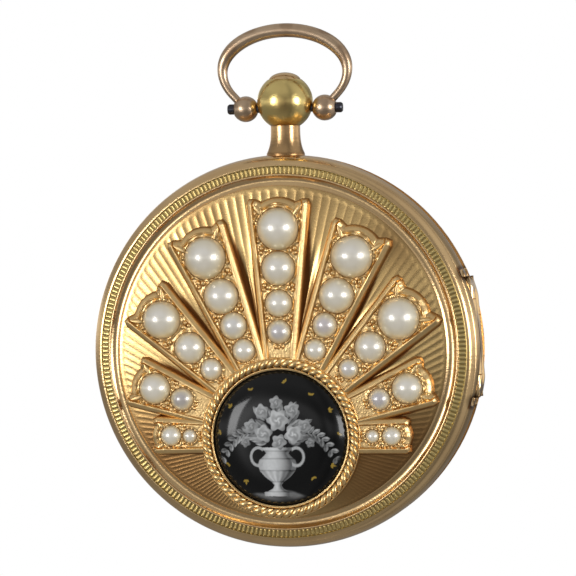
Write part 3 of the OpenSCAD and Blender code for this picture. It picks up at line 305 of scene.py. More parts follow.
def metal(name, colour, deep, roughness, cloud=180, scratch=0.00002, recess=True, neck=None, shaded=False):
    # polished metal: clouds of tarnish halfway to the deep colour, fine rubbed lines, the deep colour where the
    # recess layer says so (mostly painted shade, some painted reflection, on the bow wear), a second tone on the
    # neck, and round painted shades at the hinge's two ends
    f = Finish(name, Metallic=1.0)
    tarnish = f.ramp(f.noise(cloud, 4), [(0.32, 0.0), (0.72, 1.0)])
    rubbed = f.noise(900, 4, 0.65, (1.0, 1.0, 5.0))
    colourNow = f.mix(tarnish * 0.45, colour, tuple(0.5 * (a + b) for a, b in zip(colour, deep)))
    if neck:
        colourNow = f.mix(f.layer("neck"), colourNow, neck)
    if recess:
        colourNow = f.mix(f.layer("recess"), colourNow, deep)
    for side in (-1, 1) if shaded else ():
        middle = place(*(hinge["shadeOut"] * hingeOut + side * hinge["shadeAlong"] * hingeSide), 0.0)
        flat = f.vector("MULTIPLY", f.here(), (1.0, 0.0, 1.0))
        away = f.vector("DISTANCE", flat, tuple(middle), "Value") * (1 / hinge["shadeReach"])
        colourNow = f.mix(f.ramp(away, [(0.26, 1.0), (0.56, 0.0)]), colourNow, hinge["shade"])
    f.bump(rubbed + f.noise(260, 2) * 1.5, scratch)
    rough = roughness + rubbed * 0.06 + tarnish * 0.04
    return f.put(Base_Color=colourNow, Roughness=rough + f.layer("recess") * 0.1 if recess else rough)


roseGold = metal("roseGold", gold["rose"], gold["roseDeep"], 0.17, shaded=True)
bowGold = metal("bowGold", gold["bow"], gold["bowDeep"], 0.25, cloud=420, scratch=0.000012)
oliveGold = metal("oliveGold", gold["ball"], gold["yellowDeep"], 0.16, cloud=300, scratch=0.000025,
                  neck=gold["neck"])
milledGold = metal("milledGold", gold["yellow"], gold["milledDeep"], 0.28, cloud=300)
turnedGold = metal("turnedGold", gold["turned"], gold["turnedDeep"], 0.2, scratch=0.000012)
settingGold = metal("settingGold", gold["setting"], gold["settingDeep"], 0.27, cloud=600, scratch=0.00003)
bandGold = metal("bandGold", gold["rose"], gold["roseDeep"], 0.17, recess=False, shaded=True)
yellowGold = metal("yellowGold", gold["yellow"], gold["yellowDeep"], 0.16, recess=False)


def frosted():
    # fire gilding: an even fine grain with slightly browner clouds
    f = Finish("frostedGilt", Metallic=1.0)
    clouds = f.noise(90, 4)
    f.bump(f.noise(5200, 2), 0.00002)
    return f.put(Base_Color=f.mix(clouds * 0.6, gold["gilt"], gold["giltDeep"]), Roughness=0.3 + clouds * 0.14)


def steelFinish(name, colour, heat, roughness):
    # ground steel: rubbed lines one way, heat colour in soft clouds
    f = Finish(name, Metallic=1.0)
    lines = f.noise(1500, 3, 0.6, (1.0, 9.0, 1.0))
    f.bump(lines, 0.00001)
    return f.put(Base_Color=f.mix(f.noise(500, 2), colour, heat), Roughness=roughness + lines * 0.12)


def pearlFinish():
    # nacre: the pearl's own tint plus painted shade and painted light from its layer, faint paler clouds, partly
    # mirror-like, under a clear soft coat
    f = Finish("nacre", Metallic=0.25, Coat_Roughness=0.22, Coat_IOR=2.1, IOR=1.8)
    clouds = f.noise(420, 3)
    body = f.mix(clouds * 0.3, f.layer("tint", "Color"), (0.70, 0.67, 0.62))
    f.bump(f.noise(700, 2), 0.00001)
    return f.put(Base_Color=body, Roughness=0.3 + clouds * 0.1, Coat_Weight=0.8 + clouds * 0.2)


def enamelFinish(name, painted):
    # fired enamel: either the painted layer or a warm white with faint clouds, under a clear gloss
    f = Finish(name, Coat_Weight=0.55, Coat_Roughness=0.09, Coat_IOR=1.45, Specular_IOR_Level=0.1)
    if painted:
        look = f.mix(f.noise(2600, 3) * 0.25, f.layer("paint", "Color"), (0.0, 0.0, 0.0))
    else:
        look = f.mix(f.noise(60, 3), (0.86, 0.85, 0.80), (0.80, 0.79, 0.735))
    f.bump(f.noise(320, 2), 0.00002)
    return f.put(Base_Color=look, Roughness=0.12 + f.noise(900, 2) * 0.1)


def glassFinish():
    # clear crystal with a breath of fine wiping marks
    f = Finish("crystalGlass", Transmission_Weight=1.0, IOR=1.46)
    wiped = f.noise(240, 3, 0.6, (1.0, 1.0, 3.0))
    return f.put(Base_Color=f.mix(wiped, (0.98, 0.99, 0.985), (0.955, 0.97, 0.965)),
                 Roughness=0.004 + wiped * 0.012)


def inkFinish():
    # fired black ink with a faint brown unevenness
    f = Finish("dialInk")
    return f.put(Base_Color=f.mix(f.noise(1800, 2), (0.012, 0.011, 0.012), (0.035, 0.028, 0.024)),
                 Roughness=0.3 + f.noise(1200, 2) * 0.1)


frostedGilt = frosted()
bluedSteel = steelFinish("bluedSteel", (0.03, 0.05, 0.16), (0.07, 0.05, 0.13), 0.16)
greySteel = steelFinish("greySteel", (0.50, 0.51, 0.53), (0.36, 0.37, 0.39), 0.2)
headSteel = steelFinish("headSteel", (0.10, 0.10, 0.115), (0.045, 0.045, 0.055), 0.25)
nacre = pearlFinish()
paintedEnamel = enamelFinish("paintedEnamel", True)
whiteEnamel = enamelFinish("whiteEnamel", False)
crystalGlass = glassFinish()
dialInk = inkFinish()
print("materials ready")

# a piece shown by its solids takes the finish of its node, or else of its material slot
slotFinish = {"rose_gold": roseGold, "olive_gold": oliveGold, "yellow_gold": yellowGold,
              "engine_turned_gold": turnedGold, "gilt_brass": frostedGilt, "blued_steel": bluedSteel,
              "steel": greySteel, "white_enamel": whiteEnamel, "crystal_glass": crystalGlass}
nodeFinish = {"bow_screws": headSteel, "case_band": bandGold, "bezel": bandGold,
              "back_hinge_pin": bandGold, "bezel_hinge_pin": bandGold}
slotOf = {part["node"]: part["material_slot"] for part in frame["record"]["subparts"]}
for node, holder in frame["nodes"].items():
    finish = nodeFinish.get(node, slotFinish.get(slotOf.get(node)))
    for materialSlot in holder.material_slots if finish else ():
        materialSlot.material = finish

cover = {"fieldInner": 8.6, "fieldKnee": 19.4, "fieldEdge": 20.6, "fieldHeight": 4.6, "fieldUnder": (4.0, 4.1),
         "domeRise": 1.0, "domePower": 0.85, "flutes": 171, "perFlute": 8,
         "fluteSlope": 0.038, "fluteEnd": 20.3, "valleySlope": 0.42,
         "darkPatchSpread": 14, "darkPatches": ((-14.5, 11.5, 0.45), (-10.0, 16.0, 0.45), (14.0, 13.0, 0.5),
                                       (3.5, 18.5, 0.25)),
         "rimInner": 23.05, "rimWide": 1.45, "rimLow": 1.25, "rimTall": 3.0, "creaseRadius": 24.06,
         "creaseSpan": (0.42, 0.56), "creaseWide": 0.035, "creaseDeep": 0.07,
         # middle and half width, then middle and height of the bead; then the cove's two ends
         "bead": ((21.95, 0.15), (4.45, 0.13)), "cove": (21.78, 20.62), "coveHeight": 4.56, "coveDeep": 0.3,
         "coveWide": 1.2, "step": ((23.02, 4.2), (22.98, 4.1), (22.16, 4.1), (22.12, 4.4)),
         "under": ((20.5, 4.4), (20.3, 4.1), (14.0, 4.55), (7.0, 4.85), (0.0, 4.95)),
         "inside": ((0.0, 4.75), (10.0, 4.6), (19.6, 3.85), (22.1, 3.85), (22.9, 3.15), (23.15, 1.85),
                    (23.2, 1.3), (23.26, 1.25)),
         "notchIn": 22.3, "notchHalf": 8.5, "notchTop": 2.15, "notchEnd": 3.0, "notchRise": (6.9, 7.5)}
milled = {"ridges": 260, "depth": 0.09, "lift": 0.05, "beadShade": 0.45, "wave": (0, 0.05, 0.75, 1, 1, 0.75),
          "radius": (22.98, 22.98, 22.9, 22.8, 22.5, 22.3, 22.2, 22.14, 22.14),
          "level": (4.0, 4.22, 4.24, 4.25, 4.28, 4.31, 4.33, 4.34, 4.0),
          "cut": (0, 0, 1, 1, 1, 1, 1, 0, 0),
          "bead": [(23.0, 4.1), (23.0, 4.3), (23.04, 4.34), (23.1, 4.3), (23.12, 4.1)]}
medallion = {"drop": 10.5, "radius": 8.4, "edge": 6.0, "rise": 1.4, "ropeRadius": 9.3, "twists": 31, "strand": 0.36,
             "wind": 0.27, "domePower": 5.2, "fade": (7.4, 8.1), "under": 4.9,
             "wires": ((9.89, 5.86, 0.11), (8.6, 6.06, 0.13)),
             "band": ((8.45, 4.8), (8.45, 6.1), (8.62, 6.12), (8.75, 5.75), (9.7, 5.7), (9.86, 5.85),
                      (9.95, 5.8), (9.97, 4.6))}

rays = {  # angle from upright, then distance and diameter of each pearl from the outermost in
    "centre": (0.0, [(25.8, 5.25), (20.9, 4.25), (16.6, 3.4), (13.1, 3.0)]),
    "left_1": (-22.5, [(24.1, 5.25), (18.95, 4.4), (15.0, 3.4), (11.7, 2.9)]),
    "left_2": (-45.5, [(20.9, 4.75), (15.9, 3.92), (12.1, 2.75)]),
    "left_3": (-69.0, [(17.0, 3.9), (13.3, 2.9)]),
    "left_4": (-89.0, [(13.9, 2.6), (11.5, 1.8)]),
    "right_1": (22.5, [(24.1, 5.25), (18.95, 4.4), (15.0, 3.1), (11.7, 2.75)]),
    "right_2": (45.5, [(20.9, 5.25), (15.9, 3.9), (12.1, 2.5)]),
    "right_3": (69.0, [(17.0, 3.8), (13.3, 2.75)]),
    "right_4": (89.0, [(13.9, 2.4), (11.5, 1.7)])}
rayShape = {"top": 6.1, "bed": 5.75, "begin": 9.5, "start": 10.0, "foot": 1.6, "side": 0.45, "end": 0.65,
            "endArc": (128, 52), "cell": (0.1, 0.105), "under": 4.3,
            # out, down and shade of each level of the wall; the last goes down into the field
            "wall": ((0.1, 0.045, 0.0), (0.28, 0.135, 0.1), (0.44, 0.25, 0.25), (0.6, 0.55, 0.6), (0.76, 1.0, 0.9)),
            # sideways, along and radius of the grains between two pearls and at the foot
            "gapGrains": ((0.52, 0.04, 0.32), (0.74, 0.3, 0.27), (0.76, -0.24, 0.25)),
            "footGrains": ((-0.5, 0.0, 0.2), (-0.05, -0.05, 0.22), (0.42, 0.0, 0.2))}


def rayHalf(pearls, distance):
    # half width of a ray: a straight line from its foot at the ring to its largest pearl
    big = pearls[0][1] / 2 + rayShape["side"]
    share = (distance - rayShape["start"]) / (pearls[0][0] - rayShape["start"])
    return rayShape["foot"] + (big - rayShape["foot"]) * share


def domeHeight(radius):
    # the field's rise over its edge: one less the squared share of the radius, to a power under one
    share = np.minimum(radius / cover["fieldEdge"], 1)
    return cover["fieldHeight"] + cover["domeRise"] * (1 - share ** 2) ** cover["domePower"]


def valley(angle, distance):
    # how far a point lies under the field in the V between two rays, which is its distance to the nearer
    # ray times a slope, and how much painted shade its side gets
    tilt = np.degrees(angle)
    depth, dark = np.zeros_like(distance * angle), np.zeros_like(distance * angle)
    order = sorted(rays.values(), key=lambda ray: ray[0])
    wall = rayShape["wall"][-1][0]
    for (leftTilt, leftPearls), (rightTilt, rightPearls) in zip(order[:-1], order[1:]):
        reach = min(leftPearls[0][0], rightPearls[0][0])
        fromLeft = distance * np.sin(np.radians(tilt - leftTilt)) - rayHalf(leftPearls, distance)
        fromRight = distance * np.sin(np.radians(rightTilt - tilt)) - rayHalf(rightPearls, distance)
        inside = (tilt > leftTilt) & (tilt < rightTilt) & (fromLeft > 0) & (fromRight > 0)
        runOut = 1 - fall(reach - 5.5, reach + 1, distance)
        depth = np.where(inside, np.minimum(fromLeft, fromRight) * cover["valleySlope"] * runOut, depth)
        across = (fromLeft - wall) / np.maximum(fromLeft + fromRight - 2 * wall, 0.05)
        edge = 0.85 * (1 - np.clip((distance - 10) / (reach - 7), 0, 1) ** 1.5)
        tip = leftPearls[0][0] + leftPearls[0][1] / 2
        side = (1 - fall(edge - 0.1, edge + 0.08, across)) * (1 - fall(tip - 2.5, tip + 0.2, distance))
        dark = np.where(inside, np.maximum(side, 0.5 * (1 - fall(reach - 8, reach, distance))), dark)
    return depth, dark


def makeField():
    # height of a point at (angle, distance) from the medallion: the dome, less a hollow flute whose
    # section is a parabola and whose end is round, less the V between two rays
    perFlute = cover["perFlute"]
    columns = cover["flutes"] * perFlute
    angle = np.arange(columns) / columns * 2 * np.pi
    share = np.concatenate([np.linspace(0, 1, 26)[:-1], 1 + np.linspace(0, 1, 12) ** 0.8])
    dirX, dirY = np.sin(angle)[None, :], np.cos(angle)[None, :]
    drop = medallion["drop"]

    def reachTo(radius):
        # distance along each direction to a circle round the case's centre
        return dirY * drop + np.sqrt(radius ** 2 - (dirX * drop) ** 2)

    inner, knee, outer = cover["fieldInner"], reachTo(cover["fieldKnee"]), reachTo(cover["fieldEdge"])
    s = share[:, None]
    distance = np.where(s < 1, inner + (knee - inner) * s, knee + (outer - knee) * (s - 1))
    x, y = distance * dirX, distance * dirY - drop
    radius = np.hypot(x, y)
    pitch = distance * 2 * np.pi / cover["flutes"]
    u = (np.arange(columns) % perFlute / perFlute)[None, :]
    ended = np.clip((radius - (cover["fluteEnd"] - 0.5 * pitch)) / (0.5 * pitch), 0, 2)
    q = (2 * u - 1) ** 2 + ended ** 2
    flute = pitch * cover["fluteSlope"] * np.maximum(0, 1 - q)
    tilt = (angle + np.pi) % (2 * np.pi) - np.pi
    deep, dark = valley(tilt[None, :] + 0 * distance, distance)
    z = domeHeight(radius) - flute - deep
    # painted shade at the round ends and edges of each flute
    recess = np.clip(0.5 * np.maximum(0, (q - 0.82) / 0.18) * (q < 1.05), 0, 1) * 0.9
    # painted shade: the field darker towards the bottom, less so down the middle
    recess = np.maximum(recess, 0.8 * fall(-0.5, -11.5, y) * (1 - 0.85 * hump(x, 0, 6)))
    # darker patches on the field
    for patchX, patchY, depth in cover["darkPatches"]:
        recess = np.maximum(recess, depth * np.exp(-((x - patchX) ** 2 + (y - patchY) ** 2) / cover["darkPatchSpread"]))
    # painted shade on the sides of the V between rays
    recess = np.maximum(recess, dark)
    rows, c = len(share), columns
    ends = [0, -1]
    lower = place(x[ends], y[ends], np.array(cover["fieldUnder"])[:, None])
    points = np.concatenate([place(x, y, z).reshape(-1, 3), lower.reshape(-1, 3)])
    n, last = rows * c, (rows - 1) * c
    i, j = nextRound(c)
    walls = np.concatenate([np.stack(corners, -1) for corners in (
        (i, n + i, n + j, j), (last + i, last + j, n + c + j, n + c + i), (n + i, n + c + i, n + c + j, n + j))])
    layer = np.concatenate([recess.ravel(), np.zeros(2 * c)])
    makePiece("coverField", points, [grid(rows, c, False, True), walls], turnedGold, "back_cover",
              replaced="back_cover", sharp=60, recess=layer)


def rimCurve(turn):
    # the rounded rim, a quarter of an ellipse from its top to its widest
    return np.stack([cover["rimInner"] + cover["rimWide"] * np.sin(turn),
                     cover["rimLow"] + cover["rimTall"] * np.cos(turn)], -1)


def makeShell():
    # profile of the cover: rounded rim with a fine crease, cove, bead and the hollow inside
    t = np.linspace(0, 1, 26) * np.pi / 2
    fine = np.linspace(*cover["creaseSpan"], 15) * np.pi / 2
    rim = rimCurve(t)
    rim = np.concatenate([rim[t < fine[0] - 0.01], rimCurve(fine), rim[t > fine[-1] + 0.01]])
    crease = hump(rim[:, 0], cover["creaseRadius"], cover["creaseWide"]) * cover["creaseDeep"]
    rim = rim - np.stack([0.6 * crease, 0.8 * crease], -1)
    beadArc = np.linspace(0, np.pi, 9)
    (beadAt, beadWide), (beadHeight, beadTall) = cover["bead"]
    bead = np.stack([beadAt + beadWide * np.cos(beadArc), beadHeight + beadTall * np.sin(beadArc)], -1)
    coveR = np.linspace(*cover["cove"], 12)
    sunk = cover["coveDeep"] * np.sin((coveR - cover["fieldEdge"]) / cover["coveWide"] * np.pi) ** 0.8
    cove = np.stack([coveR, cover["coveHeight"] - sunk], -1)

    def where(radius, theta, height):
        # in the notch the rim ends on its own curve at the notch's top, which rises to either end
        toHinge = radius * np.cos(theta - hingeTurn)
        along = np.abs(radius * np.sin(theta - hingeTurn))
        over = cover["notchTop"] + (cover["notchEnd"] - cover["notchTop"]) * fall(*cover["notchRise"], along)
        cut = (toHinge > cover["notchIn"]) & (along < cover["notchHalf"]) & (height < over)
        sunk = ((over - cover["rimLow"]) / cover["rimTall"]) ** 2
        least = cover["rimInner"] + cover["rimWide"] * np.sqrt(np.clip(1 - sunk, 0, 1))
        return roundCase(np.where(cut, np.minimum(radius, least), radius), theta, np.where(cut, over, height))

    profile = np.concatenate([cover["inside"], rim[::-1], cover["step"], bead, cove, cover["under"]])
    points, faces = turned(profile, 960, where, poles=True)
    x, y = planOf(points)
    out, along = inAxes(x, y, hingeTurn)
    # painted shade at the two ends of the hinge notch
    recess = fall(1.1, 0.5, np.abs(np.abs(along) - hinge["shadeAlong"])) * (out > 22.4) * (points[:, 1] / mm > -3.4)
    makePiece("coverShell", points, faces, roseGold, "back_cover", sharp=34, recess=recess,
              slot="rose_gold")


def makeMilled():
    # flat band with a square-cut ridge every 1.4 degrees: height follows a steep-sided wave of the angle
    perRidge = len(milled["wave"])
    columns = milled["ridges"] * perRidge
    angle = (np.arange(columns) / columns * 2 * np.pi)[None, :]
    wave = np.array(milled["wave"])[np.arange(columns) % perRidge][None, :]
    radius, level, cut = (np.array(milled[key])[:, None] for key in ("radius", "level", "cut"))
    z = level + milled["lift"] * cut - milled["depth"] * cut * (1 - wave)
    # painted shade in the cuts between ridges, more towards the top and bottom of the band; the bead gets an even
    # painted shade
    recess = np.clip(cut * (1 - wave) + 0.5 * np.sin(angle) ** 2, 0, 1)
    edge = turned(milled["bead"], 360, roundCase)
    points, faces = joined([(roundCase(radius, angle, z), [grid(len(radius), columns, True, True)]), edge])
    layer = np.concatenate([recess.ravel(), np.full(len(points) - recess.size, milled["beadShade"])])
    makePiece("milledBand", points, faces, milledGold, "back_cover", sharp=50, recess=layer,
              slot="olive_gold")


def makeKnuckles():
    # a round with a tongue up into the cover, carried along the hinge line, once for each knuckle
    turn = np.radians(np.linspace(*hinge["arc"], 27))
    outline = np.concatenate([np.stack(polar(hinge["round"], turn), -1), hinge["tongue"]])
    n = len(outline)
    parts = []
    for low, high in hinge["knuckles"]:
        stations = np.array([low, low + hinge["chamfer"], high - hinge["chamfer"], high])[:, None]
        size = np.array([hinge["bevel"], 1, 1, hinge["bevel"]])[:, None]
        away = hinge["out"] + outline[None, :, 0] * size
        up = hinge["up"] + outline[None, :, 1] * size
        x, y = (hingeOut[k] * away + hingeSide[k] * stations for k in (0, 1))
        caps = np.stack([np.arange(n)[::-1], np.arange(n) + 3 * n])
        parts.append((place(x, y, up), [grid(4, n, False, True), caps]))
    makePiece("coverKnuckles", *joined(parts), roseGold, "back_cover", sharp=40, slot="rose_gold")


makeField()
makeShell()
makeMilled()
makeKnuckles()
print("back cover ready")

chance = np.random.default_rng(7)


def raySurface(pearls, x, y):
    # height and recess over a ray's plan: a granular bed, a double edge line down each side, a collar
    # round every pearl, grains in the gaps between pearls and leaf claws at the outer corners
    bed, top = rayShape["bed"], rayShape["top"]
    fromSide = rayHalf(pearls, y) - np.abs(x)
    first, big = pearls[0]
    z = bed + 0.03 * np.sin(17 * x + 9 * np.sin(5 * y)) * np.sin(13 * y + 4 * np.sin(7 * x))
    z = z + chance.normal(0, 0.018, x.shape)
    recess = np.full(x.shape, 0.06)
    for distance, size in pearls:
        away = np.hypot(x, y - distance) - size / 2
        around = np.arctan2(y - distance, x)
        z = np.maximum(z, bed + hump(away, 0.12, 0.13) * (0.14 + 0.05 * np.sin(around * 13)))
        # painted shade in the groove round each pearl's foot
        recess = np.where(np.abs(away - 0.02) < 0.06, 0.8, recess)
    edge = np.clip(1 - (fromSide - 0.11) / 0.11, 0, 1)
    z = np.maximum(z, bed + (top - bed + 0.02) * fall(0, 1, edge * 1.6))
    recess = np.where(edge > 0.15, 0.0, recess)
    groove = hump(fromSide, 0.27, 0.06)
    z = z - 0.06 * groove
    # painted shade in the groove along each side
    recess = np.maximum(recess, 0.5 * groove)
    grains = []
    for (d1, w1), (d2, w2) in zip(pearls[:-1], pearls[1:]):
        middle = (d1 - w1 / 2 + d2 + w2 / 2) / 2
        room = rayHalf(pearls, middle)
        grains += [(sign * room * share, middle + up, size) for sign in (-1, 1)
                   for share, up, size in rayShape["gapGrains"]]
    lastD, lastW = pearls[-1]
    foot = max(lastD - lastW / 2 - 0.35, 10.15)
    grains += [(side, foot + up, size) for side, up, size in rayShape["footGrains"]]
    for sign in (-1, 1):
        at = big * 0.46
        grains += [(sign * at, first - big * 0.30, 0.2), (sign * (at + 0.14), first + big * 0.2, 0.2)]
    for gx, gy, size in grains:
        bump = 1 - ((x - gx) ** 2 + (y - gy) ** 2) / size ** 2
        z = np.where(bump > 0, np.maximum(z, bed + 0.06 + size * np.sqrt(np.maximum(bump, 0))), z)
        # painted shade round the foot of each grain
        recess = np.where(bump > 0.15, 0.0, np.where(bump > -0.5, np.maximum(recess, 0.5), recess))
    arch = big / 2 + rayShape["end"]
    lip = hump(np.hypot(x, y - first) - arch, -0.16, 0.14) * (y > first)
    beat = 0.5 + 0.5 * np.cos(11 * np.arctan2(x, y - first))
    z = np.maximum(z, bed + lip * (0.16 + 0.24 * beat))
    # painted shade between the lip's beads
    recess = np.where(lip > 0.4, 0.55 * (1 - beat), recess)
    for sign in (-1, 1):
        tipY = first + arch - 0.15
        baseX, baseY = sign * big * 0.40, first + big * 0.34
        tipX = sign * (rayHalf(pearls, tipY) - 0.25)
        dx, dy = tipX - baseX, tipY - 0.05 - baseY
        long = np.hypot(dx, dy)
        t = ((x - baseX) * dx + (y - baseY) * dy) / long ** 2
        off = np.abs((x - baseX) * dy - (y - baseY) * dx) / long
        width = 0.34 * np.sin(np.clip(t * 0.8 + 0.2, 0, 1) * np.pi)
        leaf = np.clip(1 - off / np.maximum(width, 0.02), 0, 1) * (t > -0.1) * (t < 1.02)
        z = np.maximum(z, bed + 0.42 * np.sqrt(leaf) - 0.13 * hump(off, 0, 0.06) * (leaf > 0))
        recess = np.where(leaf > 0.35, 0.0, recess)
    return z, recess


def makeRay(name):
    # plan of a ray: columns run from its foot to its scalloped end, rows across between its sides,
    # then a wall that splays outwards down into the field
    tilt, pearls = rays[name]
    first, big = pearls[0]
    foot, (cellWide, cellLong) = rayShape["begin"], rayShape["cell"]
    arch = big / 2 + rayShape["end"]
    tipY = first + arch - 0.15
    tipHalf = rayHalf(pearls, tipY)
    arc = np.radians(np.linspace(*rayShape["endArc"], 17))
    arcX, arcY = polar(arch, arc)
    endX = np.concatenate([[-tipHalf], arcX, [tipHalf]])
    endY = np.concatenate([[tipY], first + arcY, [tipY]])
    across = max(int(2 * tipHalf / cellWide), 30)
    along = int((tipY - foot) / cellLong)
    s = np.linspace(-1, 1, across + 1)[None, :]
    t = np.linspace(0, 1, along + 1)[:, None]
    y = foot + t * (np.interp(s * tipHalf, endX, endY) - foot)
    x = s * rayHalf(pearls, y)
    z, recess = raySurface(pearls, x, y)
    flat = border(along, across) @ np.array([across + 1, 1])
    edgeX, edgeY, edgeZ = x.ravel()[flat], y.ravel()[flat], z.ravel()[flat] - 0.01
    nx = np.roll(edgeY, -1) - np.roll(edgeY, 1)
    ny = np.roll(edgeX, 1) - np.roll(edgeX, -1)
    size = np.hypot(nx, ny)
    nx, ny = nx / size, ny / size
    turn = np.radians(tilt)

    def onCase(px, py):
        # turned by the ray's tilt about the medallion's centre
        right, up = inAxes(px, py, turn)
        return right, up - medallion["drop"]

    n, m = x.size, len(flat)
    rounds = [place(*onCase(edgeX + nx * 0.03, edgeY + ny * 0.03), edgeZ)]
    shades = [0.0]
    for out, down, shade in rayShape["wall"]:
        outX, outY = onCase(edgeX + nx * out, edgeY + ny * out)
        low = edgeZ - down if down < 1 else domeHeight(np.hypot(outX, outY)) - 0.4
        rounds.append(place(outX, outY, low))
        shades.append(shade)
    rounds.append(place(*onCase(edgeX, edgeY), rayShape["under"]))
    shades.append(0.6)
    base = n + (len(rounds) - 1) * m + np.arange(m)
    faces = [grid(along + 1, across + 1), skirt(flat, n), grid(len(rounds), m, False, True, n), base[None, :]]
    points = np.concatenate([place(*onCase(x, y), z).reshape(-1, 3)] + rounds)
    layer = np.concatenate([recess.ravel(), np.repeat(shades, m)])
    makePiece("ray_" + name + "_setting", points, faces, settingGold, "back_cover", replaced="ray_" + name,
              sharp=50, recess=layer)


# height as a share of the diameter, depths under the bed, radius low down as a share, unevenness
pearlShape = {"tall": 0.42, "sunk": 0.02, "waist": 0.97, "under": 0.1, "uneven": 0.012}
# middle is the pearl's own tint; side and rim are painted shade and painted gold reflection toward its edge, low is
# painted warm light on its lower part
nacreTintAndShade = {"middle": (0.94, 0.885, 0.785), "side": (0.86, 0.76, 0.53), "rim": (0.56, 0.44, 0.22),
             "low": (1.0, 0.92, 0.70), "spread": 0.02}
pearlTints = {  # how grey, brown or creamy the odd ones are, by ray and place
    ("centre", 3): (0.64, 0.60, 0.62), ("right_1", 2): (0.70, 0.63, 0.64), ("left_3", 1): (0.52, 0.475, 0.46),
    ("right_3", 1): (0.60, 0.56, 0.59), ("right_2", 2): (0.78, 0.74, 0.72), ("left_1", 2): (0.82, 0.79, 0.76)}


def makePearls(name):
    # each pearl a dome: radius is the cosine of a quarter turn, height half its sine and half a parabola
    tilt, pearls = rays[name]
    turn = np.radians(tilt)
    shape, bed = pearlShape, rayShape["bed"]
    parts, tintsAndShades = [], []
    for k, (distance, size) in enumerate(pearls):
        half = size / 2
        quarter = np.linspace(np.pi / 2, 0, 22)
        rise = 0.5 * np.sin(quarter) + 0.5 * np.sin(quarter) ** 2
        profile = np.stack([half * np.cos(quarter), bed - shape["sunk"] + shape["tall"] * size * rise], -1)
        profile[0, 0] = 0.0
        under = bed - shape["under"]
        profile = np.concatenate([profile, [(half * shape["waist"], under), (0.0, under)]])
        cx, cy = distance * np.sin(turn), distance * np.cos(turn) - medallion["drop"]
        wobble = chance.uniform(-shape["uneven"], shape["uneven"], 2)

        def where(radius, angle, height):
            uneven = 1 + wobble[0] * np.cos(2 * angle) + wobble[1] * np.cos(3 * angle + 1)
            right, up = polar(radius * uneven, angle)
            return place(cx + right, cy + up, height)

        made = turned(profile, 48, where, poles=True)
        x, y = planOf(made[0])
        # painted shade and painted gold reflection toward the rim, and painted warm light on the lower part, over
        # the pearl's own tint
        share = np.hypot(x - cx, y - cy) / half
        low = np.clip(0.25 - (y - cy) / half, 0, 1)[:, None] * 0.7
        tint = np.array(pearlTints.get((name, k), nacreTintAndShade["middle"]))
        tint = tint + chance.uniform(-nacreTintAndShade["spread"], nacreTintAndShade["spread"])
        tint = np.stack([np.interp(share, [0, 0.4, 0.82, 1], [inner, inner, side, rim])
                         for inner, side, rim in zip(tint, nacreTintAndShade["side"], nacreTintAndShade["rim"])], -1)
        tintsAndShades.append(tint * (1 - low) + low * tint * np.array(nacreTintAndShade["low"]))
        parts.append(made)
    makePiece("pearls_" + name + "_set", *joined(parts), nacre, "back_cover", replaced="pearls_" + name,
              sharp=60, tint=np.concatenate(tintsAndShades))


for name in rays:
    makeRay(name)
    makePearls(name)
print("rays and pearls ready")


def hoop(radius, height, steps):
    # a circle about the medallion's centre, or a winding line where radius and height change along it
    around = circle(steps)
    return np.stack([*polar(radius, around), height + 0 * around], -1)


def tube(path, sides, radius):
    # a round section carried along a closed path and square to it: every point lies off the path by
    # the radius, its cosine to the path's side and its sine to the path's upper side
    ahead = np.roll(path, -1, 0) - np.roll(path, 1, 0)
    ahead /= np.linalg.norm(ahead, axis=1, keepdims=True)
    side = np.cross(ahead, [0.0, 0.0, 1.0])
    side /= np.linalg.norm(side, axis=1, keepdims=True)
    over = np.cross(side, ahead)
    angle = circle(sides)[None, :, None]
    points = path[:, None] + radius * (np.cos(angle) * side[:, None] + np.sin(angle) * over[:, None])
    return points, [grid(len(path), sides, True, True)]


def makeRing():
    # two strands wound round a circle (each keeps turning about it), a bright wire on either side
    # and a band under them
    m = medallion
    steps = m["twists"] * 18
    parts = []
    for start in (0, np.pi):
        wind = circle(steps) * m["twists"] + start
        out, up = polar(m["wind"], wind)
        parts.append(tube(hoop(m["ropeRadius"] + out, m["edge"] + 0.1 + up, steps), 10, m["strand"]))
    parts += [tube(hoop(radius, height, 300), 10, thick) for radius, height, thick in m["wires"]]
    band = np.array(m["band"])
    parts.append((hoop(band[:, :1], band[:, 1:], 240), [grid(len(band), 240, True, True)]))
    points, faces = joined(parts)
    x, y, z = points.T
    radius = np.hypot(x, y)
    # painted shade: the lower a point lies on the rope and band, the darker
    recess = np.clip((6.3 - z) * 1.7, 0, 0.95) * ((radius > 8.7) & (radius < 9.8))
    makePiece("ropeRing", place(x, y - m["drop"], z), faces, settingGold, "back_cover",
              replaced="medallion_ring", sharp=60, recess=recess)


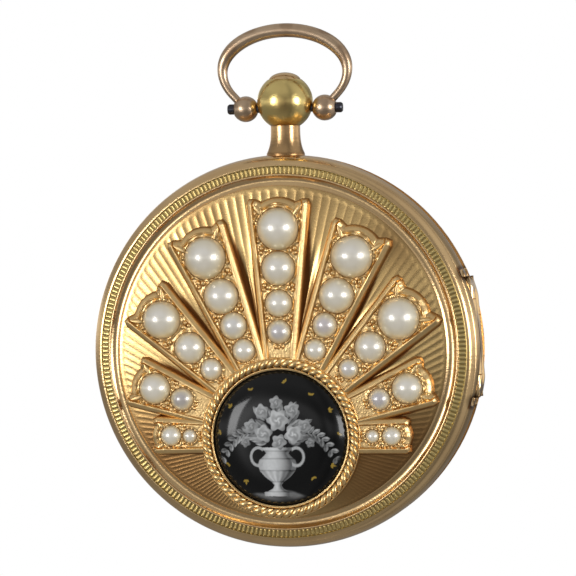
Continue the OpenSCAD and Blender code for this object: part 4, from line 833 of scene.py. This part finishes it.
painting = {
    # heights and half widths of the urn, the lines across it, then across, up, size, shade and petals of
    # each flower, and the middle and turn of each gold sprig
    "heights": (-5.6, -5.15, -5.1, -4.8, -4.45, -4.1, -3.6, -3.0, -2.4, -1.9, -1.5, -1.2, -0.95, -0.8, -0.62),
    "halves": (1.45, 1.45, 1.1, 0.55, 0.36, 0.62, 1.3, 1.82, 2.02, 1.86, 1.4, 1.15, 1.35, 1.75, 1.8),
    "lines": (-5.12, -4.1, -2.95, -1.75, -0.98),
    "flowers": (
        (-0.2, 3.9, 0.72, 0.72, 5), (-1.7, 3.0, 0.82, 0.80, 5), (1.45, 3.15, 0.86, 0.76, 6),
        (-2.75, 1.5, 0.80, 0.70, 5), (2.7, 1.55, 0.78, 0.72, 5), (0.0, 2.1, 1.18, 0.95, 6),
        (-1.5, 0.75, 0.98, 0.88, 5), (1.6, 0.7, 1.02, 0.92, 5), (0.1, -0.05, 0.82, 0.80, 5),
        (3.3, -0.15, 0.52, 0.62, 5), (-3.35, -0.1, 0.55, 0.62, 5)),
    "sprigs": (
        (-4.9, 3.4, 2.3), (-2.9, 5.1, 1.5), (0.7, 5.9, 2.2), (3.3, 4.6, 1.3), (5.1, 3.1, 0.2), (-6.0, 0.9, 3.4),
        (6.1, 0.6, 0.9), (5.3, -2.4, -0.4), (-5.2, -2.3, 3.9), (3.5, -3.6, -1.2), (-3.4, -3.9, 4.6)),
    "shrink": 1.22, "raise": 0.3, "white": (0.97, 0.99, 1.0), "gold": (0.40, 0.27, 0.04), "black": 0.006}


def soft(value, edge=0.07):
    # 0 outside a shape and 1 inside it, through a narrow blurred edge
    return np.clip(value / edge + 0.5, 0, 1)


def paintUrn(x, y):
    # grisaille on black, layer over layer: every shape is a soft-edged mask with its own shade
    grey, fleck = np.zeros_like(x), np.zeros_like(x)

    def lay(mask, shade):
        nonlocal grey
        grey = grey * (1 - mask) + shade * mask

    def leaf(cx, cy, turn, long, wide, shade):
        u, v = inAxes(x - cx, y - cy, turn)
        t = np.clip(u / long, 0, 1)
        inside = wide * np.sin(t * np.pi) ** 0.8 - np.abs(v)
        light = shade * (0.62 + 0.3 * (v > 0) + 0.1 * np.cos(t * 9)) - 0.16 * hump(v, 0, 0.05)
        lay(soft(inside) * (u > 0) * (u < long), light)

    def bloom(cx, cy, size, shade, petals):
        dx, dy = x - cx, y - cy
        away, angle = np.hypot(dx, dy) / size, np.arctan2(dy, dx) + cx
        edge = 0.86 + 0.14 * np.cos(petals * angle)
        curl = 0.5 + 0.5 * np.cos(9 * away + 1.2 * np.sin(petals * angle * 0.5 + 6 * away))
        light = 0.62 + 0.38 * curl * np.clip(1.25 - away, 0, 1) + 0.1 * (dy - dx) / size
        lay(soft((edge - away) * size), shade * np.clip(light, 0.25, 1.15))

    # ground with a low step
    ground = -5.1 - 0.05 * x * x + 0.14 * np.sin(x * 1.6)
    lay(soft(ground - y, 0.25) * 0.9, 0.34 + 0.09 * np.sin(1.9 * x + 2.6 * y) - 0.05 * (ground - y))
    # urn: half width over height, shaded round, with lines across
    half = np.interp(y, painting["heights"], painting["halves"])
    inside = np.where((y > -5.6) & (y < -0.62), half - np.abs(x + 0.1), -1)
    across = (x + 0.1) / np.maximum(half, 0.1)
    shade = 0.30 + 0.62 * np.clip(1 - (across + 0.35) ** 2, 0, 1) + 0.08 * (across > 0.75)
    for line in painting["lines"]:
        shade = shade - 0.22 * hump(y, line, 0.07)
    shade = shade - 0.16 * (0.5 + 0.5 * np.cos(across * 16)) * (y > -4.1) * (y < -2.95)
    lay(soft(inside), shade)
    for sign in (-1, 1):  # handles
        away = np.abs(np.hypot((x + 0.1 - sign * 1.95) / 0.75, (y + 1.55) / 0.9) - 1) * 0.75
        lay(soft(0.13 - away) * (sign * (x + 0.1) > 1.5), 0.72)
    # sprays that hang to either side, then the bouquet
    for sign in (-1, 1):
        for k in range(11):
            t = k / 10
            sx, sy = sign * (1.2 + 4.6 * t), -0.2 + 1.7 * np.sin(t * 2.4) - 2.6 * t * t
            slope = np.arctan2(1.7 * 2.4 * np.cos(t * 2.4) - 5.2 * t, 4.6)
            turn = slope if sign > 0 else np.pi - slope
            for lean in (-0.75, 0.75):
                leaf(sx, sy, turn + lean, 1.15 - 0.4 * t, 0.24, 0.72 - 0.2 * (lean < 0))
    for k in range(16):
        turn = np.pi * (0.02 + 0.96 * k / 15)
        reach = 2.0 + 1.1 * (k % 3) * 0.8
        leaf(reach * 0.55 * np.cos(turn), 0.3 + reach * 0.62 * np.sin(turn), turn, 1.9, 0.33, 0.55 + 0.12 * (k % 2))
    for flower in painting["flowers"]:
        bloom(*flower)
    # small gold sprigs of three leaves each, scattered over the black
    for cx, cy, turn in painting["sprigs"]:
        for lean, long in ((-0.8, 0.42), (0.05, 0.4 + 0.2 * np.sin(5 * cx)), (0.9, 0.36)):
            u, v = inAxes(x - cx, y - cy, turn + lean)
            inside = 0.1 * np.sin(np.clip(u / long, 0, 1) * np.pi) - np.abs(v)
            fleck = np.maximum(fleck, soft(inside, 0.06) * (u > 0.02) * (u < long))
    return np.clip(grey, 0, 1), fleck * (grey < 0.25)


def makeEnamel():
    # a disc mapped from a square grid (so that its cells stay even), raised to a dome, on a short rim
    m = medallion
    n = 236
    a, b = np.meshgrid(np.linspace(-1, 1, n), np.linspace(-1, 1, n), indexing="ij")
    wide = np.abs(a) >= np.abs(b)
    signed = np.where(wide, a, b)
    overA, overB = np.where(a == 0, 1, a), np.where(b == 0, 1, b)
    angle = np.where(wide, np.pi / 4 * b / overA, np.pi / 2 - np.pi / 4 * a / overB)
    x, y = signed * np.cos(angle) * m["radius"], signed * np.sin(angle) * m["radius"]
    radius = np.hypot(x, y)
    z = m["edge"] - 0.1 + (m["rise"] + 0.1) * (1 - np.minimum(radius / m["radius"], 1) ** m["domePower"])
    grey, fleck = paintUrn(x / painting["shrink"], (y + painting["raise"]) / painting["shrink"])
    fade = 1 - fall(*m["fade"], radius)
    value = (0.004 + 0.84 * (grey * fade) ** 1.5)[..., None]
    colour = value * np.array(painting["white"]) + (fleck * fade)[..., None] * np.array(painting["gold"])
    flat = border(n - 1, n - 1) @ np.array([n, 1])
    low = place(x.ravel()[flat], y.ravel()[flat] - m["drop"], m["under"])
    points = np.concatenate([place(x, y - m["drop"], z).reshape(-1, 3), low])
    faces = [grid(n, n), skirt(flat, n * n), n * n + np.arange(len(flat))[None, :]]
    paint = np.concatenate([colour.reshape(-1, 3), np.full((len(flat), 3), painting["black"])])
    makePiece("enamelDome", points, faces, paintedEnamel, "back_cover", replaced="medallion_enamel", sharp=60,
              paint=paint)


makeRing()
makeEnamel()
print("medallion ready")

bow = {"pivot": 30.3, "halfWidth": 7.95, "wideHeight": 4.75, "rise": 5.0, "drop": 5.5, "topThick": 1.75,
       "endThick": 1.0, "endAngle": 124, "ballX": 5.04, "ballRadius": 1.62, "ballCuts": (-1.49, 1.42)}
pendant = {"ballHeight": 31.1, "ballRadius": 3.5, "neck": 1.85, "flare": 2.4, "flareHeight": 24.65,
           "capRadius": 2.05, "capStart": 33.1, "capSide": 0.55, "capDome": 1.15,
           "root": ((0.0, 24.0), (2.36, 24.0), (2.42, 24.35)), "rodRadius": 0.55, "rodEnds": (22.6, 33.3)}


def makeBow():
    # the wire's middle line is an oval over the pivot that ends straight into the two balls
    b = bow
    a = np.radians(np.linspace(-b["endAngle"], b["endAngle"], 150))
    up = np.where(np.abs(a) < np.pi / 2, b["rise"], b["drop"])
    x, h = b["halfWidth"] * np.sin(a), b["wideHeight"] + up * np.cos(a)
    narrowing = fall(0.35, 1.0, np.abs(a) / np.radians(b["endAngle"]))
    thick = b["endThick"] + (b["topThick"] - b["endThick"]) * (1 - narrowing)
    ends = np.linspace(0, 1, 7)[1:-1]
    leftX, leftH = -b["ballX"] + (x[0] + b["ballX"]) * ends, h[0] * ends
    x = np.concatenate([leftX, x, -leftX[::-1]])
    h = np.concatenate([leftH, h, leftH[::-1]])
    endThick = np.full(len(ends), b["endThick"])
    r = np.concatenate([endThick, thick, endThick])[:, None] / 2
    ahead = np.stack([np.gradient(x), np.gradient(h)], -1)
    ahead /= np.linalg.norm(ahead, axis=1, keepdims=True)
    sides = 28
    turn = circle(sides)[None, :]
    px = x[:, None] + r * np.cos(turn) * ahead[:, 1:]
    ph = h[:, None] - r * np.cos(turn) * ahead[:, :1]
    n = len(x)
    caps = np.stack([np.arange(sides)[::-1], np.arange(sides) + (n - 1) * sides])
    parts = [(place(px, ph + b["pivot"], r * np.sin(turn)), [grid(n, sides, False, True), caps])]
    t = np.linspace(0, np.pi, 30)
    along = np.clip(b["ballRadius"] * np.cos(t), *b["ballCuts"])
    around = b["ballRadius"] * np.sin(t)
    profile = np.concatenate([[(0, along[0])], np.stack([around, along], -1)[1:-1], [(0, along[-1])]])
    for sign in (-1, 1):
        def where(radius, angle, out):
            return place(sign * (b["ballX"] + out), b["pivot"] + radius * np.cos(angle), radius * np.sin(angle))

        parts.append(turned(profile, 48, where, poles=True))
    points, faces = joined([outwards(*part) for part in parts])
    x, y, z = points.T / mm
    worn = np.clip(np.sin(x * 2.3 + 4 * np.sin(z * 1.7)), 0, 1) * 0.12
    worn = worn + 0.4 * fall(0.2, 0.7, np.sin(x * 1.3 + 1) * np.cos(z * 0.9 + y * 2))
    makePiece("bowWire", points, faces, bowGold, "bow", replaced="bow", sharp=45, recess=worn)


def makePendant():
    # neck with a hollow flare at its foot, then the ball, whose top is bored for the cap
    p = pendant
    h = np.linspace(0, 1, 20)
    top = p["ballHeight"] - np.sqrt(p["ballRadius"] ** 2 - p["neck"] ** 2)
    neckH = p["flareHeight"] + (top - p["flareHeight"]) * h
    neckR = p["neck"] + (p["flare"] - p["neck"]) * (1 - h) ** 3.2
    low = np.arcsin(p["neck"] / p["ballRadius"])
    high = np.arcsin((p["capRadius"] + 0.06) / p["ballRadius"])
    t = np.linspace(low, np.pi - high, 40)[1:]
    ball = np.stack([p["ballRadius"] * np.sin(t), p["ballHeight"] - p["ballRadius"] * np.cos(t)], -1)
    bore = p["capStart"] - 0.1
    profile = np.concatenate([p["root"], np.stack([neckR, neckH], -1), ball,
                              [(p["capRadius"] + 0.03, bore), (0.0, bore)]])
    points, faces = turned(profile, 96, roundUpright, poles=True)
    x, height = planOf(points)
    # painted shade in the crease at the flare's foot, where the neck meets the ball, and on the lower ball; a
    # painted dark reflection low on the front of the ball
    recess = 0.85 * hump(height, 24.5, 0.22) + 0.5 * hump(height, top, 0.1)
    recess = recess + 0.18 * fall(29.9, 28.4, height) * (height > top)
    recess = recess + 0.5 * (points[:, 1] < 0) * hump(x, 0.5, 1.2) * hump(height, 30.4, 1.2)
    makePiece("pendantBall", points, faces, oliveGold, "case", replaced="pendant", sharp=35,
              recess=recess, neck=1.0 * (height <= top))


def makeCap():
    # straight side under a low dome, its corner rounded, and a rod down through the pendant
    p = pendant
    t = np.linspace(np.pi / 2, 0.0, 16)[:-1]
    shoulder = p["capStart"] + p["capSide"]
    dome = np.stack([p["capRadius"] * np.sin(t), shoulder + p["capDome"] * np.cos(t)], -1)
    side = [(0.0, p["capStart"]), (p["capRadius"] - 0.05, p["capStart"]), (p["capRadius"], p["capStart"] + 0.05)]
    profile = np.concatenate([side, dome, [(0.0, shoulder + p["capDome"])]])
    cap = turned(profile, 72, roundUpright, poles=True)
    r, (low, high) = p["rodRadius"], p["rodEnds"]
    rod = turned([(0, low), (r, low), (r, high), (0, high)], 24, roundUpright, poles=True)
    makePiece("pushCap", *joined([cap, rod]), roseGold, "push_piece", replaced="push_piece", sharp=35)


makeBow()
makePendant()
makeCap()
print("bow and pendant ready")

dialPrint = {"level": -4.4, "thick": 0.03, "proud": 0.005, "middle": 16.1, "tall": 2.9, "track": (18.7, 19.25),
             "line": 0.05, "minute": 0.12, "fifth": 0.26, "serif": 0.07,
             # width of each letter, then for each of its strokes the two ends and the stroke's width
             "letters": {"I": (0.62, [(0, 0, 0, 1, 0.34)]),
                         "V": (1.25, [(-0.42, 1, 0, 0, 0.32), (0.42, 1, 0, 0, 0.12)]),
                         "X": (1.25, [(-0.42, 1, 0.42, 0, 0.32), (0.42, 1, -0.42, 0, 0.12)])},
             "hours": ("XII", "I", "II", "III", "IIII", "V", "VI", "VII", "VIII", "IX", "X", "XI")}


def bars(strokes):
    # each stroke (x0, y0, x1, y1, width) a thin flat bar of six faces on the dial
    s = np.asarray(strokes, float)
    ahead = s[:, 2:4] - s[:, :2]
    side = np.stack([-ahead[:, 1], ahead[:, 0]], -1) / np.linalg.norm(ahead, axis=1)[:, None] * s[:, 4:] / 2
    corner = np.stack([s[:, :2] + side, s[:, :2] - side, s[:, 2:4] - side, s[:, 2:4] + side], 1)
    z = dialPrint["level"] + np.array([dialPrint["proud"], -dialPrint["thick"]])
    both = np.stack([place(corner[..., 0], corner[..., 1], v) for v in z], 1)
    box = np.array([[0, 3, 2, 1], [4, 5, 6, 7], [0, 1, 5, 4], [1, 2, 6, 5], [2, 3, 7, 6], [3, 0, 4, 7]])
    return both.reshape(-1, 3), [(np.arange(len(s))[:, None, None] * 8 + box).reshape(-1, 4)]


def makeFigures():
    # Roman figures from strokes: I upright, V and X from slanted ones, with thin serifs, set round the dial
    d = dialPrint
    strokes = []
    for hour, word in enumerate(d["hours"]):
        width = sum(d["letters"][letter][0] for letter in word)
        at, serif = -width / 2, width / 2 - 0.05
        turn = np.pi / 2 + hour * np.pi / 6  # seen from the front, where right and left change places
        out, left = np.array([np.cos(turn), np.sin(turn)]), np.array([-np.sin(turn), np.cos(turn)])
        marks = [(-serif, y, serif, y, d["serif"]) for y in (0, 1)]
        for letter in word:
            wide, lines = d["letters"][letter]
            marks += [(at + wide / 2 + x0, y0, at + wide / 2 + x1, y1, w) for x0, y0, x1, y1, w in lines]
            at += wide
        for x0, y0, x1, y1, w in marks:
            p = out * (d["middle"] + (y0 - 0.5) * d["tall"]) + left * x0
            q = out * (d["middle"] + (y1 - 0.5) * d["tall"]) + left * x1
            strokes.append((*p, *q, w))
    for minute in range(60):
        out = np.array(polar(1, minute * np.pi / 30))
        width = d["minute"] if minute % 5 else d["fifth"]
        strokes.append((*(out * d["track"][0]), *(out * d["track"][1]), width))
    z0, z1 = d["level"] + d["proud"], d["level"] - d["thick"]
    w = d["line"]
    rings = [turned([(r - w, z0), (r + w, z0), (r + w, z1), (r - w, z1)], 240, roundCase) for r in d["track"]]
    points, faces = joined([outwards(*part) for part in [bars(strokes)] + rings])
    makePiece("dialFigures", points, faces, dialInk, "case", sharp=30, slot="black_enamel")


makeFigures()
print("dial figures ready")

studio = {
    "floor": -0.087, "floorHalf": 0.085, "air": 0.36, "middle": -0.037,
    # bearing from straight behind the back cover towards +X, lift over the horizon, and power of each box
    "boxes": {"leftBox": (-38, 6, 1.05), "rightBox": (60, 6, 1.15),
              "rearLeftBox": (153, 15, 1.05), "rearRightBox": (207, 15, 1.05)},
    "boxWide": 0.20, "boxTall": 0.21, "boxAway": 0.62,
    # the walls' glow by lift, then soft patches of light: bearing, its width, lift, its width, strength
    "shellRadius": 0.9, "shellMiddle": -0.035, "lifts": (-90, -30, -12, -5, 0, 5, 9, 15, 40, 90),
    "glows": (0.30, 0.22, 0.22, 0.20, 0.85, 0.85, 0.36, 0.30, 0.46, 0.42),
    "patches": ((-26, 9, 1, 7, 0.15), (-27, 9, 3, 15, 0.45), (60, 13, 6, 13, 0.5), (-21, 6, -2, 12, 0.85))}
camera = {"azimuth": 11.4, "elevation": 1.6, "roll": -0.83, "distance": 0.346, "pixels": 2762.0,
          "halfFrame": 288, "target": (0.000034, 0.0, -0.03135)}


def aim(bearing, lift):
    # the direction from the watch at this bearing and lift, in degrees
    b, e = np.radians(bearing), np.radians(lift)
    return Vector((np.sin(b) * np.cos(e), -np.cos(b) * np.cos(e), np.sin(e)))


def makeFloor():
    # a pale square under the watch, left out of reflections
    mesh = bpy.data.meshes.new("floorSheet")
    w, z = studio["floorHalf"], studio["floor"]
    mesh.from_pydata([(-w, -w, z), (w, -w, z), (w, w, z), (-w, w, z)], [], [(0, 1, 2, 3)])
    floor = added("floorSheet", mesh)
    f = Finish("paleFloor")
    mesh.materials.append(f.put(Base_Color=f.mix(f.noise(30, 2), (0.86, 0.86, 0.86), (0.83, 0.83, 0.83)),
                                Roughness=0.7 + f.noise(60, 2) * 0.1))
    floor.visible_glossy = False


def makeWalls():
    # a part of a sphere in front of the watch and one behind it, glowing only for reflections:
    # grey, darker low and round the camera, as a studio looks from the table
    across = np.radians(np.linspace(-90, 90, 73))[None, :]
    up = np.radians(np.linspace(-88, 88, 89))[:, None]
    bearing, lift = np.degrees(across) + 0 * up, np.degrees(up) + 0 * across
    dark = hump(bearing, 13, 7) * hump(lift, -2, 20)
    glow = np.interp(lift, studio["lifts"], studio["glows"]) * (1 - 0.6 * dark) * (1 - 0.45 * hump(bearing, 37, 11))
    glow = glow + 0.2 * fall(48, 80, bearing) * hump(lift, 0, 50)
    for side, wide, height, tall, strength in studio["patches"]:
        glow = glow + strength * hump(bearing, side, wide) * hump(lift, height, tall)
    for name, facing in (("frontWalls", -1), ("rearWalls", 1)):
        r = studio["shellRadius"]
        x, y = r * np.sin(across) * np.cos(up), facing * r * np.cos(across) * np.cos(up)
        z = r * np.sin(up) + 0 * across + studio["shellMiddle"]
        mesh = bpy.data.meshes.new(name)
        mesh.from_pydata(np.stack([x, y, z], -1).reshape(-1, 3).tolist(), [], grid(89, 73).tolist())
        layer = mesh.attributes.new("glow", "FLOAT", "POINT")
        layer.data.foreach_set("value", glow.astype(np.float32).ravel())
        wall = added(name, mesh)
        mesh.materials.append(bpy.data.materials.new(name))
        m = Maker(mesh.materials[0])
        source = m.node("Attribute", {"attribute_name": "glow"}, out="Fac")
        shine = m.node("Emission", {}, {"Color": (1, 1, 1), "Strength": source})
        m.node("OutputMaterial", {}, {"Surface": shine})
        wall.visible_camera = wall.visible_diffuse = wall.visible_shadow = wall.visible_transmission = False


def softBox(name, bearing, lift, power):
    # an even lamp that faces the watch; one behind it gives only diffuse light
    data = bpy.data.lights.new(name, "AREA")
    data.shape, data.size, data.size_y, data.energy = "RECTANGLE", studio["boxWide"], studio["boxTall"], power
    box = added(name, data)
    centre = Vector((0, 0, studio["middle"]))
    box.location = centre + aim(bearing, lift) * studio["boxAway"]
    box.rotation_euler = (centre - box.location).to_track_quat("-Z", "Y").to_euler()
    box.visible_glossy = abs(bearing) < 90


def makeWorld():
    # white where it is seen, reflected or seen through; for lighting only the soft air of the studio
    world = bpy.data.worlds.new("studioAir")
    bpy.context.scene.world = world
    m = Maker(world)
    seen, glossy, through = [m.node("LightPath", out="Is " + kind + " Ray")
                             for kind in ("Camera", "Glossy", "Transmission")]
    shown = m.node("Math", {"operation": "ADD", "use_clamp": True}, {0: seen + glossy, 1: through})
    air = m.node("Background", {}, {"Color": (1, 1, 1), "Strength": studio["air"]})
    white = m.node("Background", {}, {"Color": (1, 1, 1), "Strength": 1.0})
    both = m.node("MixShader", {}, {0: shown, 1: air, 2: white})
    m.node("OutputWorld", {}, {"Surface": both})


def makeCamera():
    # looks at its target from the photograph's side; half the frame over the focal length, both in
    # pixels, is the tangent of half its angle
    data = bpy.data.cameras.new("photoCamera")
    data.angle = 2 * np.arctan(camera["halfFrame"] / camera["pixels"])
    data.clip_start, data.clip_end = 0.01, 10
    eye = added("photoCamera", data)
    target = Vector(camera["target"])
    eye.location = target + aim(camera["azimuth"], camera["elevation"]) * camera["distance"]
    look = (target - eye.location).to_track_quat("-Z", "Y").to_matrix().to_4x4()
    eye.rotation_euler = (look @ Matrix.Rotation(np.radians(camera["roll"]), 4, "Z")).to_euler()
    bpy.context.scene.camera = eye


makeFloor()
makeWalls()
for name, (bearing, lift, power) in studio["boxes"].items():
    softBox(name, bearing, lift, power)
makeWorld()
makeCamera()
bpy.context.scene.view_settings.view_transform = "Standard"
print("studio ready")
